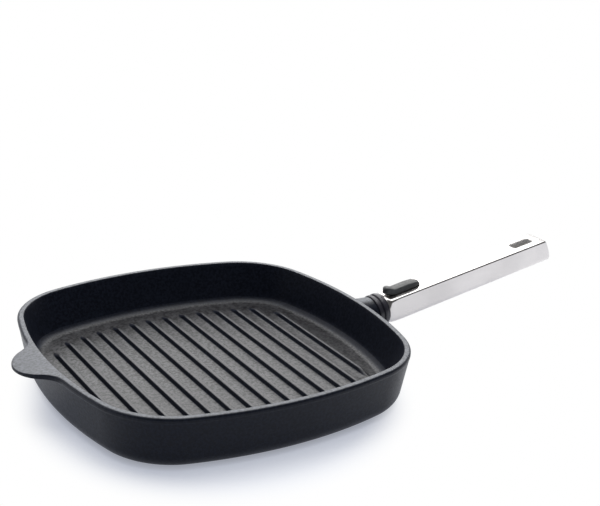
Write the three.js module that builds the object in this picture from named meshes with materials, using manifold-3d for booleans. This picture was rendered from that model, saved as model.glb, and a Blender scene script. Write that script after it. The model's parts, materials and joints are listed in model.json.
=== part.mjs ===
// Square cast grill pan with a lift-off steel handle.
// Millimetres, +Z up. The origin is the centre of the pan's underside,
// +X runs towards the handle and the ribs run along Y.
import * as THREE from 'three';
import { mergeVertices } from 'three/addons/utils/BufferGeometryUtils.js';
import Module from 'manifold-3d';

const wasm = await Module();
wasm.setup();

// Gap kept between two pieces that touch, and the sliding clearance of moving pieces.
const seatGap = 0.3;
const slideGap = 0.3;

// How far a cut runs past the face that it opens, and a join past the face that it meets.
const cutOver = 1;

// Pan casting.
const panSize = 280;
const panHeight = 43;
const sideArcRadius = 320;
const cornerRadius = 67.5;
const rimWidth = 5;
const rimEdgeRadius = 1.5;
const rimEdgeSteps = 2;
const rimBeadHeight = 4.5;
const rimBeadStep = 1;
const wallDraftDeg = 10;
const baseEdgeRadius = 13;
const baseThickness = 9.5;
const floorFilletRadius = 14;

// Grill ribs on the floor.
const ribPitch = 15.7;
const ribHeight = 4;
const ribTopWidth = 2.8;
const ribBaseWidth = 4.4;
const ribCrestRadius = 0.6;
const ribEndMargin = 5;
const ribSideMargin = 10;

// Helper lip opposite the handle.
const lipReach = 20.3;
const lipTipRadius = 26;
const lipFilletRadius = 22;
const lipThickness = 5.5;
const lipEdgeRadius = 1.4;

// Round cast boss that carries the handle, and the tilt of the handle.
const handleTiltDeg = 10.2;
const bossReach = 15.6;
const bossAxisDrop = 16.3;
const bossRadius = 14;
const bossRootRadius = 14.6;
const bossRootDepth = 30;

// Ringed guard between boss and handle, round about a centre above the handle's axis.
const guardRise = 1.4;
const guardLength = 10.3;
const guardRingRadius = 14.6;
const guardRingWidth = 3.6;
const guardGrooveWidth = 1.3;
const guardGrooveDepth = 1.5;
const guardNeckDepth = 1;
const guardEdge = 0.8;
const guardFloor = 3.2;
const guardWall = 3;

// Steel tongue that the handle slides over.
const tongueWidth = 12;
const tongueThickness = 4.5;
const tongueLength = 68;
const flangeThickness = 2.5;
const tongueNose = 2.4;
const notchFromFlange = 45;
const notchLength = 5;
const notchDepth = 2;
const tongueScrewRadius = 1.85;
const tongueScrewHeadRadius = 2.3;
const tongueScrewHeadHeight = 2.4;
const tongueScrewDepth = 10;
const tongueScrewSpacing = 10.4;

// Handle tube: round where it meets the guard, with a flat top behind a short shoulder.
const shellWidth = 24;
const shellHeight = 21.5;
const shellLength = 177.5;
const shellWall = 1.2;
const shellTopRadius = 1.2;
const shellBottomRadius = 5;
const boreTopRadius = 0.6;
const shellFrontRadius = 13.2;
const shoulderLength = 5.8;
const shoulderTopRadius = 5;
const shoulderBottomRadius = 7;
const blendLength = 13;
const shellEndLean = 4;
const shellEndBulge = 1.6;

// Moulded insert that fills the front of the tube and guides the tongue.
const insertLength = 86;
const insertFrontWall = 4;
const troughLength = 57;
const bridgeLength = 6;
const leafRise = 0.95;
const leafSwing = 0.6;
const carriageHeadroom = 0.45;
const ledgeWidth = 17;
const screwRadius = 1.5;
const screwHeadRadius = 2.9;
const screwHeadHeight = 1.5;
const screwDepth = 6;
const insertScrewMargin = 11;

// Leaf catch that drops into the notch of the tongue.
const leafThickness = 0.8;
const leafWidth = 7;
const leafEarWidth = 11;
const leafEarLength = 3;
const leafFrontReach = 3.8;
const hookWidth = 5;
const rivetRadius = 1.3;
const rivetHeadRadius = 2.3;
const rivetHeadHeight = 0.9;
const rivetDepth = 3;
const rivetSpacing = 7;

// Thumb slider and the carriage under it.
const sliderLength = 32.4;
const sliderWidth = 14.6;
const sliderCornerRadius = 3.2;
const sliderLip = 6.3;
const sliderScoop = 3.9;
const sliderCrown = 4.9;
const sliderTail = 3.4;
const sliderEdge = 1.6;
const sliderDraft = 1.4;
const lipFromFront = 2.4;
const scoopFromFront = 12;
const crownFromFront = 22;
const sliderFromShell = 6.2;
const stemFromFront = 8.7;
const sliderTravel = 7;
const stemLength = 16;
const stemWidth = 6;
const carriageLength = 24;
const carriageWidth = 16.4;
const carriageThickness = 2.6;
const prongWidth = 1.6;
const prongLength = 8;
const prongTip = 0.5;
const prongReach = 5;
const sliderScrewRadius = 1.2;
const sliderScrewHeadRadius = 2.1;
const sliderScrewHeadHeight = 1.3;
const sliderScrewSpacing = 9;
const sliderScrewBite = 2.6;

// Return spring of the slider and the pin inside it.
const springWire = 0.5;
const springOuterDiameter = 3.4;
const springTurns = 9;
const springStepsPerTurn = 8;
const springSides = 5;
const guideRadius = 0.9;
const guideDepth = 5;

// Hanging slot and the end plate of the tube.
const hangLength = 23.5;
const hangWidth = 10.8;
const hangCornerRadius = 3.6;
const hangFromEnd = 19.6;
const hangLinerWall = 1;
const endPlateThickness = 2.5;

// Number of straight steps in the arcs of each outline.
const sideSteps = 6;
const cornerSteps = 8;
const sectionSteps = 5;
const filletSteps = 5;
const roundSides = 16;

// Straight stretch left between the quarter arcs of a round section.
const roundFlat = 0.4;

const degrees = Math.PI / 180;
const halfPan = panSize / 2;
const wallSlope = Math.tan(wallDraftDeg * degrees);

// A closed geometry as a solid for joining and cutting.
function solid(geometry) {
  const bare = geometry.index ? geometry.toNonIndexed() : geometry.clone();
  bare.deleteAttribute('normal');
  bare.deleteAttribute('uv');
  const merged = mergeVertices(bare, 1e-4);
  const mesh = new wasm.Mesh({
    numProp: 3,
    vertProperties: new Float32Array(merged.attributes.position.array),
    triVerts: new Uint32Array(merged.index.array),
  });
  mesh.merge();
  return new wasm.Manifold(mesh);
}

function toGeometry(body) {
  const mesh = body.getMesh();
  const geometry = new THREE.BufferGeometry();
  geometry.setAttribute('position', new THREE.BufferAttribute(mesh.vertProperties, 3));
  geometry.setIndex(new THREE.BufferAttribute(mesh.triVerts, 1));
  return geometry;
}

// Triangles that close a flat ring, turning the same way as the ring does.
function ringCap(points) {
  const normal = new THREE.Vector3();
  points.forEach((point, i) => normal.add(point.clone().cross(points[(i + 1) % points.length])));
  const axes = ['x', 'y', 'z'];
  const main = axes.reduce((best, axis) => (Math.abs(normal[axis]) > Math.abs(normal[best]) ? axis : best));
  const [across, up] = [1, 2].map((step) => axes[(axes.indexOf(main) + step) % 3]);
  const flat = points.map((point) => new THREE.Vector2(point[across], point[up]));
  const triangles = THREE.ShapeUtils.triangulateShape(flat, []);
  return normal[main] > 0 ? triangles : triangles.map(([a, b, c]) => [a, c, b]);
}

// A skin through rings of equal point counts, closed flat at both ends.
// Seen from the last ring's side, the rings turn anticlockwise.
function loft(rings) {
  const count = rings[0].length;
  const positions = rings.flat().flatMap((point) => [point.x, point.y, point.z]);
  const faces = [];
  for (let ring = 0; ring + 1 < rings.length; ring += 1) {
    for (let i = 0; i < count; i += 1) {
      const a = ring * count + i;
      const b = ring * count + ((i + 1) % count);
      faces.push(a, b, b + count, a, b + count, a + count);
    }
  }
  const last = (rings.length - 1) * count;
  ringCap(rings[0]).forEach(([a, b, c]) => faces.push(a, c, b));
  ringCap(rings[rings.length - 1]).forEach(([a, b, c]) => faces.push(last + a, last + b, last + c));
  const geometry = new THREE.BufferGeometry();
  geometry.setAttribute('position', new THREE.Float32BufferAttribute(positions, 3));
  geometry.setIndex(faces);
  return solid(geometry);
}

// A box given by its low and high corners.
function block([x0, y0, z0], [x1, y1, z1]) {
  const box = new THREE.BoxGeometry(x1 - x0, y1 - y0, z1 - z0);
  return solid(box.translate((x0 + x1) / 2, (y0 + y1) / 2, (z0 + z1) / 2));
}

// A round bar from z0 to z1, upright at (x, y).
function uprightBar(radius, x, y, z0, z1) {
  const bar = new THREE.CylinderGeometry(radius, radius, z1 - z0, roundSides);
  return solid(bar.rotateX(Math.PI / 2).translate(x, y, (z0 + z1) / 2));
}

// A round bar from x0 to x1, lying along X at (y, z).
function lyingBar(radius, y, z, x0, x1) {
  const bar = new THREE.CylinderGeometry(radius, radius, x1 - x0, roundSides);
  return solid(bar.rotateZ(-Math.PI / 2).translate((x0 + x1) / 2, y, z));
}

// Points of an arc about (cx, cy), both ends included.
function arc(cx, cy, radius, from, to, steps) {
  return Array.from({ length: steps + 1 }, (_, i) => {
    const angle = from + ((to - from) * i) / steps;
    return new THREE.Vector2(cx + radius * Math.cos(angle), cy + radius * Math.sin(angle));
  });
}

// The same arc without its last point, for an outline whose next arc starts there.
const openArc = (...args) => arc(...args).slice(0, -1);

// A plan outline lifted to a height.
const atHeight = (points, z) => points.map((point) => new THREE.Vector3(point.x, point.y, z));

// Centre of the corner arc that runs into both bowed sides of the pan.
const sideCentre = sideArcRadius - halfPan;
const cornerReach = sideArcRadius - cornerRadius;
const cornerCentre = (Math.sqrt(2 * cornerReach ** 2 - sideCentre ** 2) - sideCentre) / 2;
const sideSwing = Math.asin(cornerCentre / cornerReach);

// Outline of the pan in plan, moved inwards by inset: four bowed sides and four round corners.
function panOutline(inset) {
  const points = [];
  for (let quarter = 0; quarter < 4; quarter += 1) {
    const turn = quarter * 90 * degrees;
    const cos = Math.cos(turn);
    const sin = Math.sin(turn);
    points.push(...openArc(-sideCentre * cos, -sideCentre * sin,
      sideArcRadius - inset, turn - sideSwing, turn + sideSwing, sideSteps));
    points.push(...openArc(cornerCentre * (cos - sin), cornerCentre * (sin + cos),
      cornerRadius - inset, turn + sideSwing, turn + 90 * degrees - sideSwing, cornerSteps));
  }
  return points;
}

function panRing([inset, z]) {
  return atHeight(panOutline(inset), z);
}

// Distance from the middle at which a rib at x meets the outline moved inwards by inset.
function outlineReach(x, inset) {
  const side = Math.sqrt((sideArcRadius - inset) ** 2 - x * x) - sideCentre;
  const across = Math.max(0, Math.abs(x) - cornerCentre);
  const corner = cornerCentre + Math.sqrt(Math.max(0, (cornerRadius - inset) ** 2 - across ** 2));
  return across > 0 ? Math.min(side, corner) : side;
}

// Inset of the outer wall and of the inner wall at a height.
const outerInset = (z) => rimBeadStep + (panHeight - rimBeadHeight - z) * wallSlope;
const innerInset = (z) => rimWidth + (panHeight - z) * wallSlope;

// A quarter turn of an edge as [sine, cosine] pairs.
const quarterTurn = Array.from({ length: filletSteps + 1 }, (_, i) => {
  const angle = (i / filletSteps) * 90 * degrees;
  return [Math.sin(angle), Math.cos(angle)];
});

function panShell() {
  const beadFoot = panHeight - rimBeadHeight;
  const footInset = outerInset(baseEdgeRadius);
  const footArc = quarterTurn.map(([s, c]) => [
    footInset + baseEdgeRadius * (1 - s), baseEdgeRadius * (1 - c)]);
  const rimEdge = Array.from({ length: rimEdgeSteps + 1 }, (_, i) => {
    const angle = (i / rimEdgeSteps) * 90 * degrees;
    return [rimEdgeRadius * (1 - Math.cos(angle)), panHeight - rimEdgeRadius * (1 - Math.sin(angle))];
  });
  return loft([...footArc, [rimBeadStep, beadFoot], [0, beadFoot + rimBeadStep], ...rimEdge].map(panRing));
}

// Inset of the flat floor's edge, where the inner fillet starts.
const filletTop = baseThickness + floorFilletRadius;
const floorInset = innerInset(filletTop) + floorFilletRadius;

function panHollow() {
  const fillet = quarterTurn.map(([s, c]) => [
    floorInset - floorFilletRadius * s, baseThickness + floorFilletRadius * (1 - c)]);
  const mouth = [[rimWidth, panHeight], [rimWidth, panHeight + rimWidth]];
  return loft([...fillet, ...mouth].map(panRing));
}

// One rib as a long round-ended bar with sloping sides and a softened crest.
function rib(x, reach) {
  const baseHalf = ribBaseWidth / 2;
  const crestHalf = ribTopWidth / 2;
  const straight = reach - baseHalf;
  const ring = (half, z) => atHeight([
    ...arc(x, straight, half, 0, Math.PI, sectionSteps),
    ...arc(x, -straight, half, Math.PI, 2 * Math.PI, sectionSteps),
  ], z);
  const crest = baseThickness + ribHeight;
  return loft([
    ring(baseHalf, baseThickness - ribCrestRadius),
    ring(crestHalf, crest - ribCrestRadius),
    ring(crestHalf - ribCrestRadius, crest),
  ]);
}

function ribs() {
  const ribInset = floorInset + ribEndMargin;
  const halfSpan = halfPan - ribInset - ribSideMargin;
  const count = Math.floor((2 * halfSpan) / ribPitch) + 1;
  return Array.from({ length: count }, (_, i) => {
    const x = (i - (count - 1) / 2) * ribPitch;
    return rib(x, outlineReach(x, ribInset));
  });
}

// Lip in plan: a round tip that runs into the bowed side through two hollow curves.
function lipOutline(inset) {
  const tipX = halfPan + lipReach - lipTipRadius;
  const toTip = lipTipRadius + lipFilletRadius;
  const toSide = sideArcRadius + lipFilletRadius;
  const apart = tipX + sideCentre;
  const filletX = (toSide ** 2 - toTip ** 2 - sideCentre ** 2 + tipX ** 2) / (2 * apart);
  const filletY = Math.sqrt(toTip ** 2 - (filletX - tipX) ** 2);
  const tipSwing = Math.atan2(filletY, filletX - tipX);
  const sideTurn = Math.atan2(filletY, filletX + sideCentre);
  const hollow = lipFilletRadius + inset;
  const root = sideArcRadius - rimWidth / 2;
  const rootPoint = (side) => new THREE.Vector2(
    root * Math.cos(sideTurn) - sideCentre, side * (root * Math.sin(sideTurn) - inset));
  const half = Math.PI;
  return [
    rootPoint(-1),
    ...openArc(filletX, -filletY, hollow, half - sideTurn, half - tipSwing, cornerSteps),
    ...openArc(tipX, 0, lipTipRadius - inset, -tipSwing, tipSwing, 2 * cornerSteps),
    ...arc(filletX, filletY, hollow, half + tipSwing, half + sideTurn, cornerSteps),
    rootPoint(1),
  ];
}

function helperLip() {
  const foot = panHeight - lipThickness;
  const turned = ([inset, z]) => lipOutline(inset).map((point) => new THREE.Vector3(-point.x, -point.y, z));
  return loft([
    [lipEdgeRadius, foot],
    [0, foot + lipEdgeRadius],
    [0, panHeight - rimEdgeRadius],
    [rimEdgeRadius, panHeight],
  ].map(turned));
}

// Rounded rectangle in the plane across the handle, with its own top and bottom corner radii.
function sectionRing(width, height, topRadius, bottomRadius, x, rise = 0) {
  const y = width / 2;
  const z = height / 2;
  const quarter = 90 * degrees;
  return [
    ...arc(y - topRadius, z - topRadius, topRadius, 0, quarter, sectionSteps),
    ...arc(-y + topRadius, z - topRadius, topRadius, quarter, 2 * quarter, sectionSteps),
    ...arc(-y + bottomRadius, -z + bottomRadius, bottomRadius, 2 * quarter, 3 * quarter, sectionSteps),
    ...arc(y - bottomRadius, -z + bottomRadius, bottomRadius, 3 * quarter, 4 * quarter, sectionSteps),
  ].map((point) => new THREE.Vector3(x, point.x, point.y + rise));
}

// Round section about a centre that lies rise above the handle's axis.
function roundRing(radius, rise, x) {
  const corner = radius - roundFlat / 2;
  return sectionRing(2 * radius, 2 * radius, corner, corner, x, rise);
}

// The handle's own frame: X along the handle from the boss face, Z up across it.
const handleFrame = new THREE.Group();
handleFrame.position.set(halfPan + bossReach, 0, panHeight - bossAxisDrop);
handleFrame.rotation.y = -handleTiltDeg * degrees;
handleFrame.updateMatrixWorld();

function toPanFrame(body) {
  const geometry = toGeometry(body);
  geometry.applyMatrix4(handleFrame.matrixWorld);
  return solid(geometry);
}

// Stations along the handle, counted from the boss face.
const guardStart = seatGap;
const guardEnd = guardStart + guardLength;
const flangeStart = guardStart + guardFloor + seatGap;
const flangeEnd = flangeStart + flangeThickness;
const pocketRadius = guardRingRadius - guardNeckDepth - guardWall;
const shellStart = guardEnd + seatGap;
const shellEnd = shellStart + shellLength;
const insertStart = shellStart + seatGap;
const insertEnd = insertStart + insertLength;
const troughStart = insertStart + insertFrontWall;
const troughEnd = troughStart + troughLength;
const bridgeEnd = troughEnd + bridgeLength;
const notchStart = flangeEnd + notchFromFlange;
const notchEnd = notchStart + notchLength;
const screwHeights = [tongueScrewSpacing / 2, -tongueScrewSpacing / 2];
const holeRadius = tongueScrewRadius + seatGap;

function panBody() {
  const rootRise = guardRise + bossRootDepth * Math.tan(handleTiltDeg * degrees);
  const boss = loft([
    roundRing(bossRootRadius, rootRise, -bossRootDepth),
    roundRing(bossRadius, guardRise, 0),
  ]);
  const holes = screwHeights.map((z) => lyingBar(holeRadius, 0, z, -tongueScrewDepth - seatGap, cutOver));
  const drilled = holes.reduce((body, hole) => body.subtract(hole), boss);
  const outside = panShell().add(helperLip()).add(toPanFrame(drilled)).subtract(panHollow());
  return ribs().reduce((body, one) => body.add(one), outside);
}

// Guard: two rounded rings with a groove between them and a neck that meets the tube.
function flameGuard() {
  const ring = (inset, x) => roundRing(guardRingRadius - inset, guardRise, x);
  const secondRing = guardStart + guardRingWidth + guardGrooveWidth;
  const neckStart = secondRing + guardRingWidth;
  const outside = loft([
    ring(guardEdge, guardStart),
    ring(0, guardStart + guardEdge),
    ring(0, guardStart + guardRingWidth - guardEdge),
    ring(guardGrooveDepth, guardStart + guardRingWidth),
    ring(guardGrooveDepth, secondRing),
    ring(0, secondRing + guardEdge),
    ring(0, neckStart - guardEdge),
    ring(guardNeckDepth, neckStart),
    ring(guardNeckDepth, guardEnd),
  ]);
  const pocket = loft([guardStart + guardFloor, guardEnd + cutOver]
    .map((x) => roundRing(pocketRadius, guardRise, x)));
  const holes = screwHeights.map((z) => lyingBar(holeRadius, 0, z, 0, flangeEnd));
  return holes.reduce((body, hole) => body.subtract(hole), outside.subtract(pocket));
}

// Tongue: a flange that sits in the guard and a flat bar with a notch and a tapered nose.
function mountTongue() {
  const flange = loft([flangeStart, flangeEnd]
    .map((x) => roundRing(pocketRadius - seatGap, guardRise, x)));
  const barEnd = flangeEnd + tongueLength;
  const halfWide = tongueWidth / 2;
  const plan = new THREE.Shape();
  plan.moveTo(flangeStart, -halfWide);
  plan.lineTo(barEnd - tongueNose, -halfWide);
  plan.lineTo(barEnd, -halfWide + tongueNose);
  plan.lineTo(barEnd, halfWide - tongueNose);
  plan.lineTo(barEnd - tongueNose, halfWide);
  plan.lineTo(flangeStart, halfWide);
  const flat = solid(new THREE.ExtrudeGeometry(plan, { depth: tongueThickness, bevelEnabled: false })
    .translate(0, 0, -tongueThickness / 2));
  const halfThick = tongueThickness / 2;
  const side = new THREE.Shape();
  side.moveTo(flangeStart, -halfThick);
  side.lineTo(barEnd - tongueNose, -halfThick);
  side.lineTo(barEnd, -halfThick + tongueNose / 2);
  side.lineTo(barEnd, 0);
  side.lineTo(barEnd - tongueNose, halfThick);
  side.lineTo(notchEnd, halfThick);
  side.lineTo(notchEnd, halfThick - notchDepth);
  side.lineTo(notchStart + notchDepth, halfThick - notchDepth);
  side.lineTo(notchStart, halfThick);
  side.lineTo(flangeStart, halfThick);
  const bar = flat.intersect(acrossHandle(side, tongueWidth));
  const holes = screwHeights.map((z) => lyingBar(holeRadius, 0, z, 0, flangeEnd + cutOver));
  return holes.reduce((body, hole) => body.subtract(hole), flange.add(bar));
}

// A side view outline (X along the handle, Y up) made into a bar of the given width about Y = 0.
function acrossHandle(shape, width) {
  const options = { depth: width, bevelEnabled: false, curveSegments: cornerSteps };
  const bar = new THREE.ExtrudeGeometry(shape, options);
  return solid(bar.rotateX(Math.PI / 2).translate(0, width / 2, 0));
}

function tongueScrew(z) {
  const headStart = flangeEnd + seatGap;
  return lyingBar(tongueScrewRadius, 0, z, -tongueScrewDepth, headStart + cutOver)
    .add(lyingBar(tongueScrewHeadRadius, 0, z, headStart, headStart + tongueScrewHeadHeight));
}

// Rounded rectangle in plan, about a point on the handle's axis.
function roundedPlan(centreX, length, width, radius) {
  const x = length / 2 - radius;
  const y = width / 2 - radius;
  const corners = [[x, y], [-x, y], [-x, -y], [x, -y]];
  return corners.flatMap(([dx, dy], i) => {
    const from = i * 90 * degrees;
    return arc(centreX + dx, dy, radius, from, from + 90 * degrees, sectionSteps);
  });
}

// Rounded slot standing upright through the handle.
function uprightSlot(centreX, length, width, radius, z0, z1) {
  const outline = roundedPlan(centreX, length, width, radius);
  return loft([z0, z1].map((z) => atHeight(outline, z)));
}

// Sizes inside the tube.
const halfShell = shellHeight / 2;
const boreHalf = halfShell - shellWall;
const hangCentre = shellEnd - hangFromEnd;
const sliderStart = shellStart + sliderFromShell;
const stemStart = sliderStart + stemFromFront;
const stemEnd = stemStart + stemLength;
const insertScrewStations = [insertStart + insertScrewMargin, insertEnd - insertScrewMargin / 2];

// Heights of the carriage, which hangs just under the tube's top, and of the leaf over the tongue.
const plateTop = boreHalf - carriageHeadroom;
const plateBottom = plateTop - carriageThickness;
const ledgeHeight = plateBottom - slideGap;
const leafSeatHeight = tongueThickness / 2 + leafRise;
const leafBottom = leafSeatHeight + seatGap;
const leafTop = leafBottom + leafThickness;
const leafHeadroom = leafTop + leafSwing;

// Everything behind the tube's leaning, slightly bulging end, moved forwards by setBack.
function endTrim(setBack) {
  const topX = shellEnd - setBack;
  const bottomX = topX + shellEndLean;
  const reach = shellHeight;
  const shape = new THREE.Shape();
  shape.moveTo(topX, halfShell);
  shape.quadraticCurveTo((topX + bottomX) / 2 + 2 * shellEndBulge, 0, bottomX, -halfShell);
  shape.lineTo(bottomX, -halfShell - reach);
  shape.lineTo(bottomX + reach, -halfShell - reach);
  shape.lineTo(bottomX + reach, halfShell + reach);
  shape.lineTo(topX, halfShell + reach);
  return acrossHandle(shape, 2 * shellWidth);
}

// The tube's outside moved inwards by inset: round in front, then a shoulder, then the plain section.
function tubeLoft(inset) {
  const corner = (radius) => Math.max(radius - inset, boreTopRadius);
  const section = (topRadius, bottomRadius, x) => sectionRing(shellWidth - 2 * inset,
    shellHeight - 2 * inset, corner(topRadius), corner(bottomRadius), x);
  return loft([
    roundRing(shellFrontRadius - inset, guardRise, shellStart - cutOver),
    roundRing(shellFrontRadius - inset, guardRise, shellStart),
    section(shoulderTopRadius, shoulderBottomRadius, shellStart + shoulderLength),
    section(shellTopRadius, shellBottomRadius, shellStart + blendLength),
    section(shellTopRadius, shellBottomRadius, shellEnd + shellEndLean + shellEndBulge + cutOver),
  ]);
}

// The stretch of a body between two stations along the handle.
function between(body, x0, x1) {
  const reach = shellWidth;
  return body.intersect(block([x0, -reach, -reach], [x1, reach, reach]));
}

function handleShell() {
  const tube = between(tubeLoft(0), shellStart, shellEnd + shellEndLean + shellEndBulge)
    .subtract(tubeLoft(shellWall))
    .subtract(endTrim(0))
    .subtract(uprightSlot(hangCentre, hangLength, hangWidth, hangCornerRadius, -shellHeight, shellHeight));
  const stemSlot = block([stemStart - slideGap, -stemWidth / 2 - slideGap, 0],
    [stemEnd + sliderTravel + slideGap, stemWidth / 2 + slideGap, shellHeight]);
  const holes = insertScrewStations.map((x) => uprightBar(screwRadius + seatGap, x, 0, -shellHeight, 0));
  return holes.reduce((body, hole) => body.subtract(hole), tube.subtract(stemSlot));
}

// Insert: tongue channel below, open trough for the slider's carriage above,
// a bridge that takes the return spring and a seat for the leaf behind it.
function socketInsert() {
  const channelHalf = tongueWidth / 2 + slideGap;
  const top = shellHeight;
  const cuts = [
    block([insertStart - cutOver, -channelHalf, -tongueThickness / 2 - slideGap],
      [bridgeEnd, channelHalf, leafHeadroom]),
    block([troughStart, -channelHalf, leafHeadroom - cutOver], [troughEnd, channelHalf, top]),
    block([troughStart, -ledgeWidth / 2, ledgeHeight], [troughEnd, ledgeWidth / 2, top]),
    block([bridgeEnd - cutOver, -channelHalf, leafSeatHeight], [insertEnd - shellWall, channelHalf, top]),
    lyingBar(guideRadius + seatGap, 0, springAxis, troughEnd - cutOver, troughEnd + guideDepth),
    ...insertScrewStations.map((x) => uprightBar(screwRadius + seatGap, x, 0,
      -shellHeight, -boreHalf + screwDepth + seatGap)),
    ...rivetStations.map((x) => uprightBar(rivetRadius + seatGap, x, 0,
      leafSeatHeight - rivetDepth - seatGap, leafSeatHeight + cutOver)),
  ];
  const plug = between(tubeLoft(shellWall + seatGap), insertStart, insertEnd);
  return cuts.reduce((body, cut) => body.subtract(cut), plug);
}

function insertScrew(x) {
  const headTop = -halfShell - seatGap;
  return uprightBar(screwRadius, x, 0, headTop - screwHeadHeight, -boreHalf + screwDepth)
    .add(uprightBar(screwHeadRadius, x, 0, headTop - screwHeadHeight, headTop));
}

// Stations of the leaf's ends and of its rivets.
const leafStart = notchStart - leafFrontReach;
const leafEnd = insertEnd - shellWall - seatGap;
const rivetStations = [leafEnd - leafWidth / 2 - rivetSpacing, leafEnd - leafWidth / 2];

// Leaf: a flat strip with two ears in front and a hook that fills the notch.
function catchSpring() {
  const strip = block([leafStart, -leafWidth / 2, leafBottom], [leafEnd, leafWidth / 2, leafTop])
    .add(block([leafStart, -leafEarWidth / 2, leafBottom],
      [leafStart + leafEarLength, leafEarWidth / 2, leafTop]));
  const hookFoot = tongueThickness / 2 - notchDepth + seatGap;
  const hookRise = leafBottom - hookFoot;
  const hookEnd = notchEnd - slideGap;
  const rampFoot = notchStart + notchDepth + seatGap;
  const shape = new THREE.Shape();
  shape.moveTo(hookEnd, hookFoot);
  shape.lineTo(hookEnd, leafBottom + leafThickness / 2);
  shape.lineTo(rampFoot - hookRise, leafBottom + leafThickness / 2);
  shape.lineTo(rampFoot - hookRise, leafBottom);
  shape.lineTo(rampFoot, hookFoot);
  const holes = rivetStations.map((x) => uprightBar(rivetRadius + seatGap, x, 0,
    leafBottom - cutOver, leafTop + cutOver));
  return holes.reduce((body, hole) => body.subtract(hole), strip.add(acrossHandle(shape, hookWidth)));
}

function catchRivet(x) {
  const headStart = leafTop + seatGap;
  return uprightBar(rivetRadius, x, 0, leafSeatHeight - rivetDepth, headStart + rivetHeadHeight / 2)
    .add(uprightBar(rivetHeadRadius, x, 0, headStart, headStart + rivetHeadHeight));
}

// Carriage: a plate that rides on the ledges and two wedge prongs that lift the leaf's ears.
const plateStart = stemStart - (carriageLength - stemLength) / 2;
const plateEnd = plateStart + carriageLength;
const springAxis = boreHalf - slideGap - springOuterDiameter / 2;
const stemMiddle = (stemStart + stemEnd) / 2;
const sliderScrewStations = [stemMiddle - sliderScrewSpacing / 2, stemMiddle + sliderScrewSpacing / 2];

function sliderCarriage() {
  const plate = block([plateStart, -carriageWidth / 2, plateBottom], [plateEnd, carriageWidth / 2, plateTop]);
  const prongEnd = leafStart - slideGap;
  const prongFoot = tongueThickness / 2 + slideGap;
  const wedge = new THREE.Shape();
  wedge.moveTo(prongEnd - prongLength, prongFoot);
  wedge.lineTo(prongEnd, prongFoot);
  wedge.lineTo(prongEnd, prongFoot + prongTip);
  wedge.lineTo(prongEnd - prongReach, plateBottom - slideGap);
  wedge.lineTo(Math.min(prongEnd - prongReach, plateEnd), plateBottom + carriageThickness / 2);
  wedge.lineTo(prongEnd - prongLength, plateBottom + carriageThickness / 2);
  const offset = leafEarWidth / 2 - prongWidth / 2;
  const prongs = [-1, 1].map((side) => acrossHandle(wedge, prongWidth).translate(0, side * offset, 0));
  const holes = sliderScrewStations.map((x) => uprightBar(sliderScrewRadius + seatGap, x, 0,
    0, plateTop + cutOver));
  const frame = prongs.reduce((body, prong) => body.add(prong), plate);
  return holes.reduce((body, hole) => body.subtract(hole), frame);
}

function sliderScrew(x) {
  const headTop = plateBottom - seatGap;
  return uprightBar(sliderScrewRadius, x, 0, headTop - sliderScrewHeadHeight, halfShell + sliderScrewBite)
    .add(uprightBar(sliderScrewHeadRadius, x, 0, headTop - sliderScrewHeadHeight, headTop));
}

// Thumb slider: a button with a raised front lip, a thumb scoop and a long crown,
// on a stem that passes through the tube's slot.
function thumbSlider() {
  const foot = halfShell + slideGap;
  const top = (height) => foot + height;
  const end = sliderStart + sliderLength;
  const side = new THREE.Shape();
  side.moveTo(sliderStart, foot);
  side.lineTo(end, foot);
  side.lineTo(end, top(sliderTail - sliderEdge));
  side.splineThru([
    new THREE.Vector2(end - sliderEdge, top(sliderTail)),
    new THREE.Vector2(sliderStart + crownFromFront, top(sliderCrown)),
    new THREE.Vector2(sliderStart + scoopFromFront, top(sliderScoop)),
    new THREE.Vector2(sliderStart + lipFromFront, top(sliderLip)),
    new THREE.Vector2(sliderStart, top(sliderLip - sliderEdge)),
  ]);
  const plan = (inset, z) => atHeight(roundedPlan((sliderStart + end) / 2,
    sliderLength - 2 * inset, sliderWidth - 2 * inset, sliderCornerRadius - inset), z);
  const pillow = loft([
    plan(0, foot),
    plan(0, top(sliderEdge)),
    plan(sliderDraft, top(sliderLip + cutOver)),
  ]);
  const button = pillow.intersect(acrossHandle(side, 2 * sliderWidth));
  const stem = block([stemStart, -stemWidth / 2, plateTop + seatGap],
    [stemEnd, stemWidth / 2, foot + cutOver]);
  const holes = sliderScrewStations.map((x) => uprightBar(sliderScrewRadius + seatGap, x, 0,
    plateTop, halfShell + sliderScrewBite + seatGap));
  return holes.reduce((body, hole) => body.subtract(hole), button.add(stem));
}

// Return spring: one unbroken coil from the carriage to the bridge, straight at both ends.
function returnSpring() {
  const coilRadius = (springOuterDiameter - springWire) / 2;
  const start = plateEnd + seatGap + springWire / 2;
  const end = troughEnd - seatGap - springWire / 2;
  const steps = springTurns * springStepsPerTurn;
  const centres = Array.from({ length: steps + 1 }, (_, i) => {
    const turn = (i / springStepsPerTurn) * 2 * Math.PI;
    return new THREE.Vector3(start + ((end - start) * i) / steps,
      coilRadius * Math.cos(turn), springAxis + coilRadius * Math.sin(turn));
  });
  let leastGap = Infinity;
  for (let i = 0; i <= steps; i += 1) {
    for (let j = i + springStepsPerTurn / 2; j <= steps; j += 1) {
      leastGap = Math.min(leastGap, centres[i].distanceTo(centres[j]) - springWire);
    }
  }
  console.log(`return spring, least gap to itself: ${leastGap.toFixed(2)} mm`);
  const axis = new THREE.Vector3(1, 0, 0);
  const rings = centres.map((centre) => {
    const outwards = new THREE.Vector3(0, centre.y, centre.z - springAxis).normalize();
    return Array.from({ length: springSides }, (_, k) => {
      const angle = (-k / springSides) * 2 * Math.PI;
      return centre.clone()
        .addScaledVector(outwards, (springWire / 2) * Math.cos(angle))
        .addScaledVector(axis, (springWire / 2) * Math.sin(angle));
    });
  });
  return loft(rings);
}

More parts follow.
